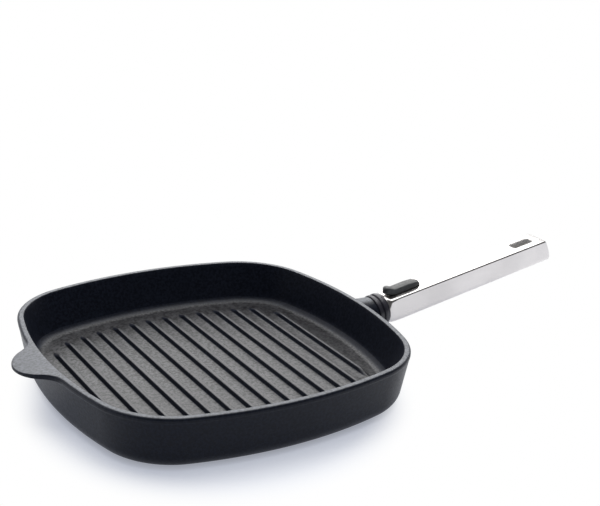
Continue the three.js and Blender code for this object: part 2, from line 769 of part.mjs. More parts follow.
function springGuide() {
  const start = plateEnd + sliderTravel + 2 * slideGap;
  return lyingBar(guideRadius, 0, springAxis, start, troughEnd + guideDepth - seatGap);
}

// Liner of the hanging slot, flush with the tube above and below.
function hangLiner() {
  const outer = uprightSlot(hangCentre, hangLength - 2 * seatGap, hangWidth - 2 * seatGap,
    hangCornerRadius - seatGap, -halfShell, halfShell);
  const bore = hangLinerWall + seatGap;
  return outer.subtract(uprightSlot(hangCentre, hangLength - 2 * bore, hangWidth - 2 * bore,
    hangCornerRadius - bore, -shellHeight, shellHeight));
}

function endPlate() {
  const plug = between(tubeLoft(shellWall + seatGap), hangCentre, shellEnd + shellEndLean + shellEndBulge);
  return plug.subtract(endTrim(0)).intersect(endTrim(endPlateThickness));
}

const finishes = {
  coating: { color: 0x2b2c30, roughness: 0.5, metalness: 0.2 },
  guard: { color: 0x1d1c20, roughness: 0.4, metalness: 0.1 },
  steel: { color: 0xc9c8c6, roughness: 0.25, metalness: 1 },
  spring: { color: 0x9a9a98, roughness: 0.35, metalness: 1 },
  moulding: { color: 0x26262a, roughness: 0.6, metalness: 0 },
  slider: { color: 0x4a4b4a, roughness: 0.55, metalness: 0 },
};

function piece(name, body, finish) {
  const mesh = new THREE.Mesh(toGeometry(body), new THREE.MeshStandardMaterial(finishes[finish]));
  mesh.name = name;
  return mesh;
}

const grillPan = new THREE.Group();
grillPan.add(piece('pan_body', panBody(), 'coating'));
handleFrame.add(
  piece('flame_guard', flameGuard(), 'guard'),
  piece('mount_tongue', mountTongue(), 'steel'),
  piece('tongue_screw_upper', tongueScrew(screwHeights[0]), 'steel'),
  piece('tongue_screw_lower', tongueScrew(screwHeights[1]), 'steel'),
  piece('handle_shell', handleShell(), 'steel'),
  piece('socket_insert', socketInsert(), 'moulding'),
  piece('insert_screw_front', insertScrew(insertScrewStations[0]), 'steel'),
  piece('insert_screw_rear', insertScrew(insertScrewStations[1]), 'steel'),
  piece('catch_spring', catchSpring(), 'spring'),
  piece('catch_rivet_front', catchRivet(rivetStations[0]), 'steel'),
  piece('catch_rivet_rear', catchRivet(rivetStations[1]), 'steel'),
  piece('thumb_slider', thumbSlider(), 'slider'),
  piece('slider_carriage', sliderCarriage(), 'moulding'),
  piece('slider_screw_front', sliderScrew(sliderScrewStations[0]), 'steel'),
  piece('slider_screw_rear', sliderScrew(sliderScrewStations[1]), 'steel'),
  piece('return_spring', returnSpring(), 'spring'),
  piece('spring_guide', springGuide(), 'steel'),
  piece('hang_liner', hangLiner(), 'slider'),
  piece('end_plate', endPlate(), 'steel'),
);
grillPan.add(handleFrame);

export default grillPan;
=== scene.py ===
import json
import math

import bmesh
import bpy
from mathutils import Matrix, Vector

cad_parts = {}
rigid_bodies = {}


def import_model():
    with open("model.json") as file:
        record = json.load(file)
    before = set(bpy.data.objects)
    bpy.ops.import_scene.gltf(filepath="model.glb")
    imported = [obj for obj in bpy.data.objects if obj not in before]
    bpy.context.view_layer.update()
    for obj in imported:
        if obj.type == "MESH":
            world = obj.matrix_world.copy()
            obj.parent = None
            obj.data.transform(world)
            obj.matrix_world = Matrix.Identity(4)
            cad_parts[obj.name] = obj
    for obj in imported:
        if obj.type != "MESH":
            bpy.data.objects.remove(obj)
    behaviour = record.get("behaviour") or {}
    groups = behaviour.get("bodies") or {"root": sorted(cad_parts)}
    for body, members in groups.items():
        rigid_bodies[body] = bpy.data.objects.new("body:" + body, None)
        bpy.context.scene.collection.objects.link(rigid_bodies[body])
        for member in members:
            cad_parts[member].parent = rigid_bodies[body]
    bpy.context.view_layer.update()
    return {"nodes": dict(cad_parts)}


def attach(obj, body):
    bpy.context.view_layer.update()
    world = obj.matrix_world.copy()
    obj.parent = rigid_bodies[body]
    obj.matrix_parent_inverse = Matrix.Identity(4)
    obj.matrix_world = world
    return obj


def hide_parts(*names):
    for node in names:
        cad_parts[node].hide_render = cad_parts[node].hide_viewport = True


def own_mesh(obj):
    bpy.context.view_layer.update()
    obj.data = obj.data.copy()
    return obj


for leftOver in list(bpy.data.objects):
    bpy.data.objects.remove(leftOver, do_unlink=True)

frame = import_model()
cadNodes = frame["nodes"]
scene = bpy.context.scene
mm = 0.001
midBevel = 0.3  # inset of a rounded edge at its middle, in edge widths
print("frame loaded:", len(cadNodes), "nodes")


# shapes are written in millimetres, each piece in its own plain frame
def skin(rings, loop=False):
    points, ids, faces = [], [], []
    for ring in rings:
        ids.append(range(len(points), len(points) + len(ring)))
        points.extend(ring)
    count = max(len(ring) for ring in rings)
    pairs = list(zip(ids, ids[1:])) + ([(ids[-1], ids[0])] if loop else [])
    for low, high in pairs:
        for i in range(count):
            j = (i + 1) % count
            corners = [low[i % len(low)], low[j % len(low)], high[j % len(high)], high[i % len(high)]]
            faces.append(list(dict.fromkeys(corners)))
    return points, faces


def arc(cx, cy, radius, start, end, steps):
    turn = [start + (end - start) * i / steps for i in range(steps + 1)]
    return [(cx + radius * math.cos(a), cy + radius * math.sin(a)) for a in turn]


def around(sides):
    return [2 * math.pi * i / sides for i in range(sides)]


def ease(t):
    t = min(1.0, max(0.0, t))
    return t * t * (3 - 2 * t)


def mix(a, b, t):
    return a + (b - a) * t


def newPiece(name, shape, finish, place=Matrix.Identity(4), merge=0.0):
    points, faces = shape
    mesh = bpy.data.meshes.new(name)
    mesh.from_pydata([place @ Vector(p) * mm for p in points], [], faces)
    if merge:
        work = bmesh.new()
        work.from_mesh(mesh)
        bmesh.ops.remove_doubles(work, verts=work.verts, dist=merge * mm)
        work.to_mesh(mesh)
        work.free()
    mesh.validate()
    mesh.materials.append(finish)
    piece = bpy.data.objects.new(name, mesh)
    scene.collection.objects.link(piece)
    return piece


def settle(piece):
    # the evaluated result becomes a plain mesh and the modifiers go
    graph = bpy.context.evaluated_depsgraph_get()
    made = bpy.data.meshes.new_from_object(piece.evaluated_get(graph))
    old = piece.data
    piece.modifiers.clear()
    piece.data = made
    made.name = piece.name
    bpy.data.meshes.remove(old)


def combine(piece, other, how):
    step = piece.modifiers.new("combine", "BOOLEAN")
    step.operation = how
    step.solver = "EXACT"
    step.object = other
    settle(piece)
    bpy.data.objects.remove(other, do_unlink=True)


def soften(piece, angle):
    piece.data.shade_smooth()
    piece.data.set_sharp_from_angle(angle=math.radians(angle))


def standFor(piece, body, slotName, *stoodFor):
    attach(piece, body)
    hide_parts(*stoodFor)


# finishes
def emptyTree(owner):
    owner.use_nodes = True
    owner.node_tree.nodes.clear()
    return owner.node_tree


def startFinish(name):
    finish = bpy.data.materials.new(name)
    tree = emptyTree(finish)
    shader = tree.nodes.new("ShaderNodeBsdfPrincipled")
    result = tree.nodes.new("ShaderNodeOutputMaterial")
    tree.links.new(shader.outputs[0], result.inputs["Surface"])
    place = tree.nodes.new("ShaderNodeTexCoord").outputs["Object"]
    return finish, tree, shader, place


def plug(tree, value, socket):
    if isinstance(value, bpy.types.NodeSocket):
        tree.links.new(value, socket)
    else:
        socket.default_value = value


def noise(tree, place, scale, detail=3.0, rough=0.55):
    node = tree.nodes.new("ShaderNodeTexNoise")
    plug(tree, place, node.inputs["Vector"])
    node.inputs["Scale"].default_value = scale
    node.inputs["Detail"].default_value = detail
    node.inputs["Roughness"].default_value = rough
    return node.outputs["Fac"]


def span(tree, value, low, high, outLow, outHigh, smooth=False):
    node = tree.nodes.new("ShaderNodeMapRange")
    node.interpolation_type = "SMOOTHSTEP" if smooth else "LINEAR"
    for socket, given in zip(node.inputs, (value, low, high, outLow, outHigh)):
        plug(tree, given, socket)
    return node.outputs[0]


def calc(tree, how, first, second=0.0):
    node = tree.nodes.new("ShaderNodeMath")
    node.operation = how
    plug(tree, first, node.inputs[0])
    plug(tree, second, node.inputs[1])
    return node.outputs[0]


def blendColour(tree, share, first, second):
    node = tree.nodes.new("ShaderNodeMix")
    node.data_type = "RGBA"
    plug(tree, share, node.inputs["Factor"])
    colours = [s for s in node.inputs if s.type == "RGBA"]
    plug(tree, first, colours[0])
    plug(tree, second, colours[1])
    return next(s for s in node.outputs if s.type == "RGBA")


def mapped(tree, place, kind, shift, turn, stretch):
    node = tree.nodes.new("ShaderNodeMapping")
    node.vector_type = kind
    for socket, given in zip(node.inputs, (place, shift, turn, stretch)):
        plug(tree, given, socket)
    return node.outputs[0]


def bump(tree, height, strength, depth, shader):
    node = tree.nodes.new("ShaderNodeBump")
    node.inputs["Strength"].default_value = strength
    node.inputs["Distance"].default_value = depth
    plug(tree, height, node.inputs["Height"])
    tree.links.new(node.outputs[0], shader.inputs["Normal"])


def part(tree, place, axis):
    node = tree.nodes.new("ShaderNodeSeparateXYZ")
    plug(tree, place, node.inputs[0])
    return node.outputs[axis]


noiseSpan = (0.3, 0.7)  # where most values of a noise lie
# the wall colours are the coat in painted shade, the floor colours the coat in painted light
coatingLook = {"shadedWallDark": (0.0095, 0.0115, 0.0195, 1), "shadedWallLight": (0.019, 0.023, 0.037, 1),
               "litFloorDark": (0.001, 0.001, 0.002, 1), "litFloorLight": (0.08, 0.079, 0.083, 1),
               # paler crest and rim colours: partly wear, partly painted highlight
               "crestWornAndLit": (0.09, 0.09, 0.094, 1), "rimWornAndLit": (0.195, 0.205, 0.228, 1),
               "grain": 540, "grainSpan": (0.25, 0.75), "fleck": 450, "fleckSpan": (0.39, 0.61),
               "cloud": 40, "cloudShade": (0.7, 1), "wearAndHighlight": (0.4, 0.95), "level": (0.82, 0.985),
               "smooth": 0.26, "rough": 0.42, "wallRough": 0.04, "bump": 0.6, "bumpDepth": 0.00013,
               "crest": 0.0135, "crestBand": 0.0003, "rimBand": (0.0404, 0.0411)}
# painted shade: the inner walls and rib flanks take darker wall colours still
shadedInnerLook = {**coatingLook, "shadedWallDark": (0.008, 0.0096, 0.016, 1), "shadedWallLight": (0.0175, 0.021, 0.033, 1)}


def makeCoating(name, look, gloss):
    finish, tree, shader, place = startFinish(name)
    grain = noise(tree, place, look["grain"], detail=3.0, rough=0.7)
    fleck = noise(tree, place, look["fleck"], detail=2.0, rough=0.6)
    cloud = noise(tree, place, look["cloud"], detail=4.0)
    z = part(tree, place, "Z")
    speckle = span(tree, fleck, *look["fleckSpan"], 0, 1)
    tone = calc(tree, "MULTIPLY", speckle, span(tree, cloud, *noiseSpan, *look["cloudShade"]))
    wall = blendColour(tree, tone, look["shadedWallDark"], look["shadedWallLight"])
    level = blendColour(tree, tone, look["litFloorDark"], look["litFloorLight"])
    # painted light and shade: faces that point up take the lighter speckled colours, the walls the darker ones
    facing = part(tree, tree.nodes.new("ShaderNodeNewGeometry").outputs["Normal"], "Z")
    up = span(tree, facing, *look["level"], 0, 1, True)
    base = blendColour(tree, up, wall, level)
    # crests and rim are painted a little paler on their level tops: partly wear, partly a painted highlight where the
    # light falls
    onCrest = calc(tree, "COMPARE", z, look["crest"])
    onCrest.node.inputs[2].default_value = look["crestBand"]
    onRim = span(tree, z, *look["rimBand"], 0, 1, True)
    wearAndHighlight = calc(tree, "MULTIPLY", up, span(tree, fleck, *noiseSpan, *look["wearAndHighlight"]))
    for where, wornAndLit in ((onCrest, look["crestWornAndLit"]), (onRim, look["rimWornAndLit"])):
        base = blendColour(tree, calc(tree, "MULTIPLY", where, wearAndHighlight), base, wornAndLit)
    plug(tree, base, shader.inputs["Base Color"])
    # the walls are a little duller
    dull = calc(tree, "MULTIPLY", calc(tree, "SUBTRACT", 1.0, up), look["wallRough"])
    rough = span(tree, grain, *look["grainSpan"], look["smooth"], look["rough"])
    plug(tree, calc(tree, "ADD", rough, dull), shader.inputs["Roughness"])
    shader.inputs["Specular IOR Level"].default_value = gloss
    bump(tree, grain, look["bump"], look["bumpDepth"], shader)
    return finish


steelLook = {"dark": (0.59, 0.568, 0.56, 1), "light": (0.68, 0.655, 0.645, 1), "smooth": 0.17, "rough": 0.28,
             "tilt": 10.2, "streak": (14, 900, 900), "cloud": 25, "bump": 0.08, "bumpDepth": 0.00002}
springLook = {**steelLook, "dark": (0.42, 0.41, 0.40, 1), "light": (0.55, 0.54, 0.53, 1),
              "smooth": 0.25, "rough": 0.38}


def makeSteel(name, look):
    finish, tree, shader, place = startFinish(name)
    along = mapped(tree, place, "POINT", (0, 0, 0), (0, math.radians(look["tilt"]), 0), look["streak"])
    streaks = noise(tree, along, 1.0, detail=3.0, rough=0.6)
    cloud = span(tree, noise(tree, place, look["cloud"]), *noiseSpan, 0, 1)
    plug(tree, blendColour(tree, cloud, look["dark"], look["light"]), shader.inputs["Base Color"])
    plug(tree, span(tree, streaks, *noiseSpan, look["smooth"], look["rough"]), shader.inputs["Roughness"])
    shader.inputs["Metallic"].default_value = 1.0
    bump(tree, streaks, look["bump"], look["bumpDepth"], shader)
    return finish


mouldingLook = {"cloud": 120, "toneSpan": (0.35, 0.65), "bump": 0.3}
mouldings = {
    "guardMoulding": {"dark": (0.036, 0.033, 0.043, 1), "light": (0.06, 0.056, 0.068, 1),
                      "smooth": 0.28, "rough": 0.4, "grain": 1500, "bumpDepth": 0.00004},
    "sliderMoulding": {"dark": (0.05, 0.05, 0.049, 1), "light": (0.135, 0.135, 0.131, 1),
                       "smooth": 0.4, "rough": 0.55, "grain": 1000, "bumpDepth": 0.00006},
    "linerMoulding": {"dark": (0.53, 0.505, 0.475, 1), "light": (0.66, 0.635, 0.6, 1),
                      "smooth": 0.45, "rough": 0.6, "grain": 1800, "bumpDepth": 0.00005},
    "blackMoulding": {"dark": (0.018, 0.018, 0.02, 1), "light": (0.03, 0.03, 0.032, 1),
                      "smooth": 0.45, "rough": 0.6, "grain": 1500, "bumpDepth": 0.00005},
}


def makeMoulding(name):
    look = {**mouldingLook, **mouldings[name]}
    finish, tree, shader, place = startFinish(name)
    fine = noise(tree, place, look["grain"], detail=2.0)
    cloud = noise(tree, place, look["cloud"])
    evenly = calc(tree, "MULTIPLY", calc(tree, "ADD", fine, cloud), 0.5)
    tone = span(tree, evenly, *look["toneSpan"], 0, 1)
    plug(tree, blendColour(tree, tone, look["dark"], look["light"]), shader.inputs["Base Color"])
    plug(tree, span(tree, fine, *noiseSpan, look["smooth"], look["rough"]), shader.inputs["Roughness"])
    bump(tree, fine, look["bump"], look["bumpDepth"], shader)
    return finish


castCoating = makeCoating("castCoating", coatingLook, gloss=0.365)
filletCoating = makeCoating("filletCoating", coatingLook, gloss=0.28)
wallCoating = makeCoating("wallCoating", coatingLook, gloss=0.16)
# painted shade: a darker coat for the inner walls and rib flanks
shadedInnerCoating = makeCoating("shadedInnerCoating", shadedInnerLook, gloss=0.09)
polishedSteel = makeSteel("polishedSteel", steelLook)
springSteel = makeSteel("springSteel", springLook)
guardMoulding, sliderMoulding, linerMoulding, blackMoulding = (makeMoulding(name) for name in mouldings)
print("finishes made")


# pan casting: bowed square, drafted wall, rim bead and helper lip in one skin
pan = {"half": 140, "height": 43, "sideRadius": 320, "cornerRadius": 67.5, "rimWidth": 5, "rimEdge": 2.0,
       "draft": math.tan(math.radians(10)), "footTurn": math.radians(80), "footRadius": 13,
       "floor": 10.3, "filletRadius": 9, "innerDraft": math.radians(25), "endDraft": math.radians(15),
       "beadFoot": 39.2, "beadStep": 0.35, "beadStart": 38.7, "beadEnd": 40.1,
       "wallLevels": (12.5, 15, 18, 23, 28, 31.5), "beadLevels": (33.6, 34.6, 35.6, 36.4),
       "innerLevels": (42.25, 40, 36, 32, 28, 24.5, 21, 18.5),
       "lipReach": 20.3, "lipTip": 26, "lipHollow": 22, "lipFoot": 38.7, "lipEdge": 0.8, "lipSag": 1.8,
       "lipBlend": 6, "lipMargin": 0.004,
       # height, share of the lip, its inset, its height above the lip's foot, share of the sag
       "lipRows": ((37.2, 0.02, 1.0, -1.4, 0), (37.9, 0.08, 1.0, -0.3, 0), (38.4, 0.5, 0.8, 0, 0),
                   (38.8, 1, 0.8, 0, 0), (39.2, 1, 0.24, 0.24, 0), (39.6, 1, 0.08, 0.56, 0),
                   (40.1, 1, 0, 0.8, 0), (40.8, 1, 0, 1.4, 0.5)),
       # inset and share of the lip, then inset and drop below the rim
       "land": ((2.6, 0.85), (2.95, 0.55), (3.3, 0.25), (3.65, 0.06), (4.0, 0)),
       "brow": ((4.5, 0.02), (4.84, 0.14), (5.03, 0.38)),
       "underShares": (0.3, 0.6, 0.85), "floorShares": (0.97, 0.8, 0.55, 0.3),
       "sideSteps": 22, "cornerSteps": 24, "lipSteps": 14, "roundSteps": 14, "rimSteps": 6}
pan["sideCentre"] = pan["sideRadius"] - pan["half"]
pan["cornerReach"] = pan["sideRadius"] - pan["cornerRadius"]
pan["cornerCentre"] = (math.sqrt(2 * pan["cornerReach"] ** 2 - pan["sideCentre"] ** 2) - pan["sideCentre"]) / 2
pan["swing"] = math.asin(pan["cornerCentre"] / pan["cornerReach"])


def panSpokes(p):
    # each spoke is a centre, a radius and a direction of the plain outline, and the same for the lip
    tipX = p["half"] + p["lipReach"] - p["lipTip"]
    toTip = p["lipTip"] + p["lipHollow"]
    toSide = p["sideRadius"] + p["lipHollow"]
    hollowX = (toSide ** 2 - toTip ** 2 - p["sideCentre"] ** 2 + tipX ** 2) / (2 * (tipX + p["sideCentre"]))
    hollowY = math.sqrt(toTip ** 2 - (hollowX - tipX) ** 2)
    tipSwing = math.atan2(hollowY, hollowX - tipX)
    lipTurn = math.atan2(hollowY, hollowX + p["sideCentre"])
    steps = p["lipSteps"]
    lipArcs = [(-hollowX, hollowY, p["lipHollow"], mix(-lipTurn, -tipSwing, i / steps), -1) for i in range(steps)]
    lipArcs += [(-tipX, 0, p["lipTip"], math.pi - tipSwing + tipSwing * i / steps, 1) for i in range(2 * steps)]
    lipArcs += [(-hollowX, -hollowY, p["lipHollow"], mix(tipSwing, lipTurn, i / steps), -1) for i in range(steps + 1)]
    spokes = []
    for quarter in range(4):
        turn = quarter * math.pi / 2
        c, s = math.cos(turn), math.sin(turn)
        side = (-p["sideCentre"] * c, -p["sideCentre"] * s, p["sideRadius"])
        corner = (p["cornerCentre"] * (c - s), p["cornerCentre"] * (s + c), p["cornerRadius"])
        for i in range(p["sideSteps"]):
            angle = turn - p["swing"] + 2 * p["swing"] * i / p["sideSteps"]
            if quarter == 2 and abs(angle - turn) < lipTurn + p["lipMargin"]:
                if not any(spoke[1] for spoke in spokes):
                    for lip in lipArcs:
                        y = lip[1] + lip[2] * math.sin(lip[3])
                        spokes.append(((*side, math.pi - math.asin(y / p["sideRadius"])), lip))
                continue
            spokes.append(((*side, angle), None))
        for i in range(p["cornerSteps"]):
            angle = turn + p["swing"] + (math.pi / 2 - 2 * p["swing"]) * i / p["cornerSteps"]
            spokes.append(((*corner, angle), None))
    return spokes


def spokePoint(spoke, inset, z, share=0.0, lipInset=None, lipZ=None, sag=0.0):
    (cx, cy, radius, angle), lip = spoke
    x, y = cx + (radius - inset) * math.cos(angle), cy + (radius - inset) * math.sin(angle)
    if lip is None:
        return (x, y, z)
    lx, ly, lipRadius, lipAngle, sign = lip
    lipInset = inset if lipInset is None else lipInset
    lipZ = z if lipZ is None else lipZ
    away = math.hypot(lx + lipRadius * math.cos(lipAngle) - cx, ly + lipRadius * math.sin(lipAngle) - cy) - radius
    depth = ease(away / pan["lipBlend"])
    reach = lipRadius - sign * mix(inset, lipInset, depth)
    px, py = lx + reach * math.cos(lipAngle), ly + reach * math.sin(lipAngle)
    return (mix(x, px, share), mix(y, py, share), mix(z, lipZ, depth) - sag * share * away ** 2)


def panShape(p):
    spokes = panSpokes(p)
    top, edge = p["height"], p["lipEdge"]
    sag = p["lipSag"] / p["lipReach"] ** 2
    outer = lambda z: p["beadStep"] + (p["beadFoot"] - z) * p["draft"]
    swell = lambda z: outer(z) * (1 - ease((z - p["beadStart"]) / (p["beadEnd"] - p["beadStart"])))

    def rounding(slant, z, radius, turn):
        # from the level z up to where a slanting wall takes over
        inset = slant(z + radius * (1 - math.cos(turn))) + radius * math.sin(turn)
        angles = [turn * i / p["roundSteps"] for i in range(p["roundSteps"] + 1)]
        return [(inset - radius * math.sin(a), z + radius * (1 - math.cos(a))) for a in angles]

    # inset and height on the plain side, then share, inset and height where the lip stands out, and its sag
    foot = rounding(outer, 0, p["footRadius"], p["footTurn"])
    wall = [(outer(z), z) for z in p["wallLevels"]]
    bead = [(swell(z), z) for z in p["beadLevels"]]
    bead += [(swell(z), z, share, inset, p["lipFoot"] + rise, sagShare * sag)
             for z, share, inset, rise, sagShare in p["lipRows"]]
    turn = [math.pi / 2 * i / p["rimSteps"] for i in range(p["rimSteps"] + 1)]
    rim = [(p["rimEdge"] * (1 - math.cos(a)), top - p["rimEdge"] * (1 - math.sin(a)), 1,
            edge * (1 - math.cos(a)), top - edge * (1 - math.sin(a)), sag) for a in turn]
    land = [(inset, top, share, None, None, sag) for inset, share in p["land"]]
    brow = [(inset, top - drop) for inset, drop in p["brow"]]

    def inside(spoke):
        # the wall leans more at the rib ends than at the lip and the handle
        draft = mix(p["innerDraft"], p["endDraft"], math.cos(spoke[0][3]) ** 2)
        inner = lambda z: p["rimWidth"] + (top - z) * math.tan(draft)
        rows = [(inner(z), z) for z in p["innerLevels"]]
        rows += rounding(inner, p["floor"], p["filletRadius"], math.pi / 2 - draft)[::-1]
        return [spokePoint(spoke, *row) for row in rows]

    ring = lambda row: [spokePoint(spoke, *row) for spoke in spokes]
    shrunk = lambda points, share: [(x * share, y * share, z) for x, y, z in points]
    under = ring(foot[0])
    insideRings = [list(row) for row in zip(*(inside(spoke) for spoke in spokes))]
    rings = [[(0, 0, 0)]] + [shrunk(under, share) for share in p["underShares"]]
    rings += [ring(row) for row in (*foot, *wall, *bead, *rim, *land, *brow)] + insideRings
    rings += [shrunk(insideRings[-1], share) for share in p["floorShares"]] + [[(0, 0, p["floor"])]]
    return skin(rings)


# rows: one blank set out along a line by geometry nodes
def startRow(name, inputs):
    tree = bpy.data.node_groups.new(name, "GeometryNodeTree")
    edge = tree.interface
    edge.new_socket("Blank", in_out="INPUT", socket_type="NodeSocketGeometry")
    edge.new_socket("Row", in_out="OUTPUT", socket_type="NodeSocketGeometry")
    sockets = {}
    for label, kind in {**inputs, "Finish": "Material"}.items():
        sockets[label] = edge.new_socket(label, in_out="INPUT", socket_type="NodeSocket" + kind).identifier
    return tree, sockets, tree.nodes.new("NodeGroupInput").outputs


def vector(tree, *values):
    node = tree.nodes.new("ShaderNodeCombineXYZ")
    for socket, value in zip(node.inputs, values):
        plug(tree, value, socket)
    return node.outputs[0]


def line(tree, count, first, step):
    node = tree.nodes.new("GeometryNodeMeshLine")
    plug(tree, count, node.inputs["Count"])
    plug(tree, first, node.inputs["Start Location"])
    plug(tree, step, node.inputs["Offset"])
    return node.outputs[0]


def setOut(tree, points, blank):
    spread = tree.nodes.new("GeometryNodeInstanceOnPoints")
    plug(tree, points, spread.inputs["Points"])
    plug(tree, blank, spread.inputs["Instance"])
    real = tree.nodes.new("GeometryNodeRealizeInstances")
    plug(tree, spread.outputs[0], real.inputs[0])
    return real.outputs[0]


def endRow(tree, made, finish):
    paint = tree.nodes.new("GeometryNodeSetMaterial")
    plug(tree, made, paint.inputs["Geometry"])
    plug(tree, finish, paint.inputs["Material"])
    plug(tree, paint.outputs[0], tree.nodes.new("NodeGroupOutput").inputs[0])


def useRow(piece, tree, sockets, values):
    step = piece.modifiers.new(tree.name, "NODES")
    step.node_group = tree
    for label, value in values.items():
        step[sockets[label]] = value
    settle(piece)


# grill ribs: drawn out to the floor's outline
ribs = {"count": 14, "pitch": 15.7, "floorInset": 26.0, "sideInset": 27.0, "endMargin": 6, "endRadius": 9.8,
        "endSlope": 2.6, "endStretch": 3.2, "endSteps": 12,
        "section": ((3.5, 10.0), (3.05, 10.3), (2.78, 10.34), (2.54, 10.45), (2.34, 10.64), (2.2, 10.9), (2.12, 11.2),
                    (1.58, 12.6), (1.46, 12.94), (1.26, 13.25), (0.96, 13.43), (0.55, 13.5))}


def ribBlank(r):
    steps, stretch = r["endSteps"], r["endStretch"]
    rings = []
    for half, z in r["section"]:
        # the ends run out on a slope
        pull = r["endSlope"] * max(0.0, z - r["section"][1][1])
        far = [(x, stretch * y - pull, z) for x, y in arc(0, 0, half, 0, math.pi, steps)]
        near = [(x, stretch * y + pull, z) for x, y in arc(0, 0, half, math.pi, 2 * math.pi, steps)]
        rings.append(far + near)
    count = steps + 1
    points, faces = skin(rings)
    faces.append(list(range(2 * count))[::-1])
    faces.append([len(points) - 2 * count + i for i in range(2 * count)])
    sides = ([1.0] * count + [-1.0] * count) * len(rings)
    return points, faces, sides


def ribTree():
    tree, sockets, given = startRow("ribRow", {
        "Rib count": "Int", "Pitch": "Float", "Side radius": "Float", "Side centre": "Float",
        "Corner radius": "Float", "Corner centre": "Float", "Corner squeeze": "Float", "End radius": "Float"})
    run = lambda how, first, second=0.0: calc(tree, how, first, second)
    square = lambda value: run("MULTIPLY", value, value)
    halfBack = run("MULTIPLY", given["Pitch"], -0.5)
    first = run("MULTIPLY", run("SUBTRACT", given["Rib count"], 1), halfBack)
    row = line(tree, given["Rib count"], vector(tree, first), vector(tree, given["Pitch"]))
    x = part(tree, tree.nodes.new("GeometryNodeInputPosition").outputs[0], "X")
    # a rib ends at the arc of the side, or at the corner's where that comes first
    sideArc = run("SQRT", run("SUBTRACT", square(given["Side radius"]), square(x)))
    onSide = run("SUBTRACT", sideArc, given["Side centre"])
    across = run("MAXIMUM", 0.0, run("SUBTRACT", run("ABSOLUTE", x), given["Corner centre"]))
    across = run("MULTIPLY", across, given["Corner squeeze"])
    cornerArc = run("SQRT", run("SUBTRACT", square(given["Corner radius"]), square(across)))
    onCorner = run("ADD", given["Corner centre"], cornerArc)
    past = run("GREATER_THAN", across, 0.0)
    reach = run("ADD", run("MULTIPLY", past, run("MINIMUM", onSide, onCorner)),
                run("MULTIPLY", run("SUBTRACT", 1.0, past), onSide))
    keep = tree.nodes.new("GeometryNodeStoreNamedAttribute")
    keep.data_type, keep.domain = "FLOAT", "POINT"
    keep.inputs["Name"].default_value = "ribReach"
    plug(tree, row, keep.inputs["Geometry"])
    plug(tree, run("SUBTRACT", reach, given["End radius"]), keep.inputs["Value"])
    blanks = setOut(tree, keep.outputs[0], given["Blank"])
    read = []
    for name in ("endSide", "ribReach"):
        node = tree.nodes.new("GeometryNodeInputNamedAttribute")
        node.data_type = "FLOAT"
        node.inputs["Name"].default_value = name
        read.append(node.outputs["Attribute"])
    draw = tree.nodes.new("GeometryNodeSetPosition")
    plug(tree, blanks, draw.inputs["Geometry"])
    plug(tree, vector(tree, 0.0, run("MULTIPLY", *read)), draw.inputs["Offset"])
    endRow(tree, draw.outputs[0], given["Finish"])
    return tree, sockets


def makeRibs(r, p):
    points, faces, sides = ribBlank(r)
    piece = newPiece("grillRibs", (points, faces), castCoating)
    side = piece.data.attributes.new("endSide", "FLOAT", "POINT")
    side.data.foreach_set("value", sides)
    inset = r["floorInset"] + r["endMargin"]
    useRow(piece, *ribTree(), {
        "Rib count": r["count"], "Pitch": r["pitch"] * mm, "Side radius": (p["sideRadius"] - inset) * mm,
        "Side centre": p["sideCentre"] * mm, "Corner radius": (p["cornerRadius"] - inset) * mm,
        "Corner squeeze": (p["cornerRadius"] - inset) / (p["cornerRadius"] - r["sideInset"]),
        "Corner centre": p["cornerCentre"] * mm, "End radius": r["endRadius"] * mm, "Finish": castCoating})
    return piece


# handle frame: X along the handle from the boss face, Z up across it
handle = {"place": (155.6, 0, 26.7), "tilt": 10.2, "rise": 1.4}
onHandle = Matrix.Translation(handle["place"]) @ Matrix.Rotation(math.radians(-handle["tilt"]), 4, "Y")


def cutOut(piece, shape):
    combine(piece, newPiece("cutter", shape, piece.data.materials[0], onHandle), "DIFFERENCE")


def circle(radius, x, rise, sides):
    return [(x, radius * math.cos(a), rise + radius * math.sin(a)) for a in around(sides)]


def lyingBar(radius, x0, x1, z, sides=32):
    return skin([[(x0, 0, z)], circle(radius, x0, z, sides), circle(radius, x1, z, sides), [(x1, 0, z)]])


boss = {"root": 14.6, "face": 14.0, "edge": 0.9, "sides": 72, "rootShares": (0, 0.25, 0.5, 0.75, 1),
        "edgeTurns": (22, 45, 68, 90), "holes": (5.2, -5.2), "holeRadius": 2.15, "holeEnds": (-10.3, 3)}


def bossShape(b, p):
    # a level bar from the middle of the wall to the tilted face
    rise, sides, edge = handle["rise"], b["sides"], b["edge"]

    def middle(z):
        both = p["beadStep"] + p["rimWidth"] + (p["beadFoot"] + p["height"] - 2 * z) * p["draft"]
        return p["half"] - both / 2

    face = [onHandle @ Vector(q) for q in circle(b["face"], -edge, rise, sides)]
    centre = onHandle @ Vector((0, 0, rise))
    grown = b["root"] / b["face"]
    root = []
    for q in face:
        z = centre.z + (q.z - centre.z) * grown
        root.append(Vector((middle(z), q.y * grown, z)))
    rings = [[(middle(centre.z), 0, centre.z)]]
    rings += [[tuple(r.lerp(f, share)) for r, f in zip(root, face)] for share in b["rootShares"]]
    for a in (math.radians(t) for t in b["edgeTurns"]):
        bevel = circle(b["face"] - edge * (1 - math.cos(a)), -edge * (1 - math.sin(a)), rise, sides)
        rings.append([tuple(onHandle @ Vector(q)) for q in bevel])
    return skin(rings + [[tuple(centre)]])


# the coat is glossiest on the level floor and dullest on the inner wall and the rib flanks, which are also painted
# darker as shade
coats = {"finishes": (castCoating, filletCoating, wallCoating, shadedInnerCoating), "steep": 0.5, "level": 0.97,
         "rimFrom": 0.04, "ribReach": 0.131, "ribFrom": 0.009}


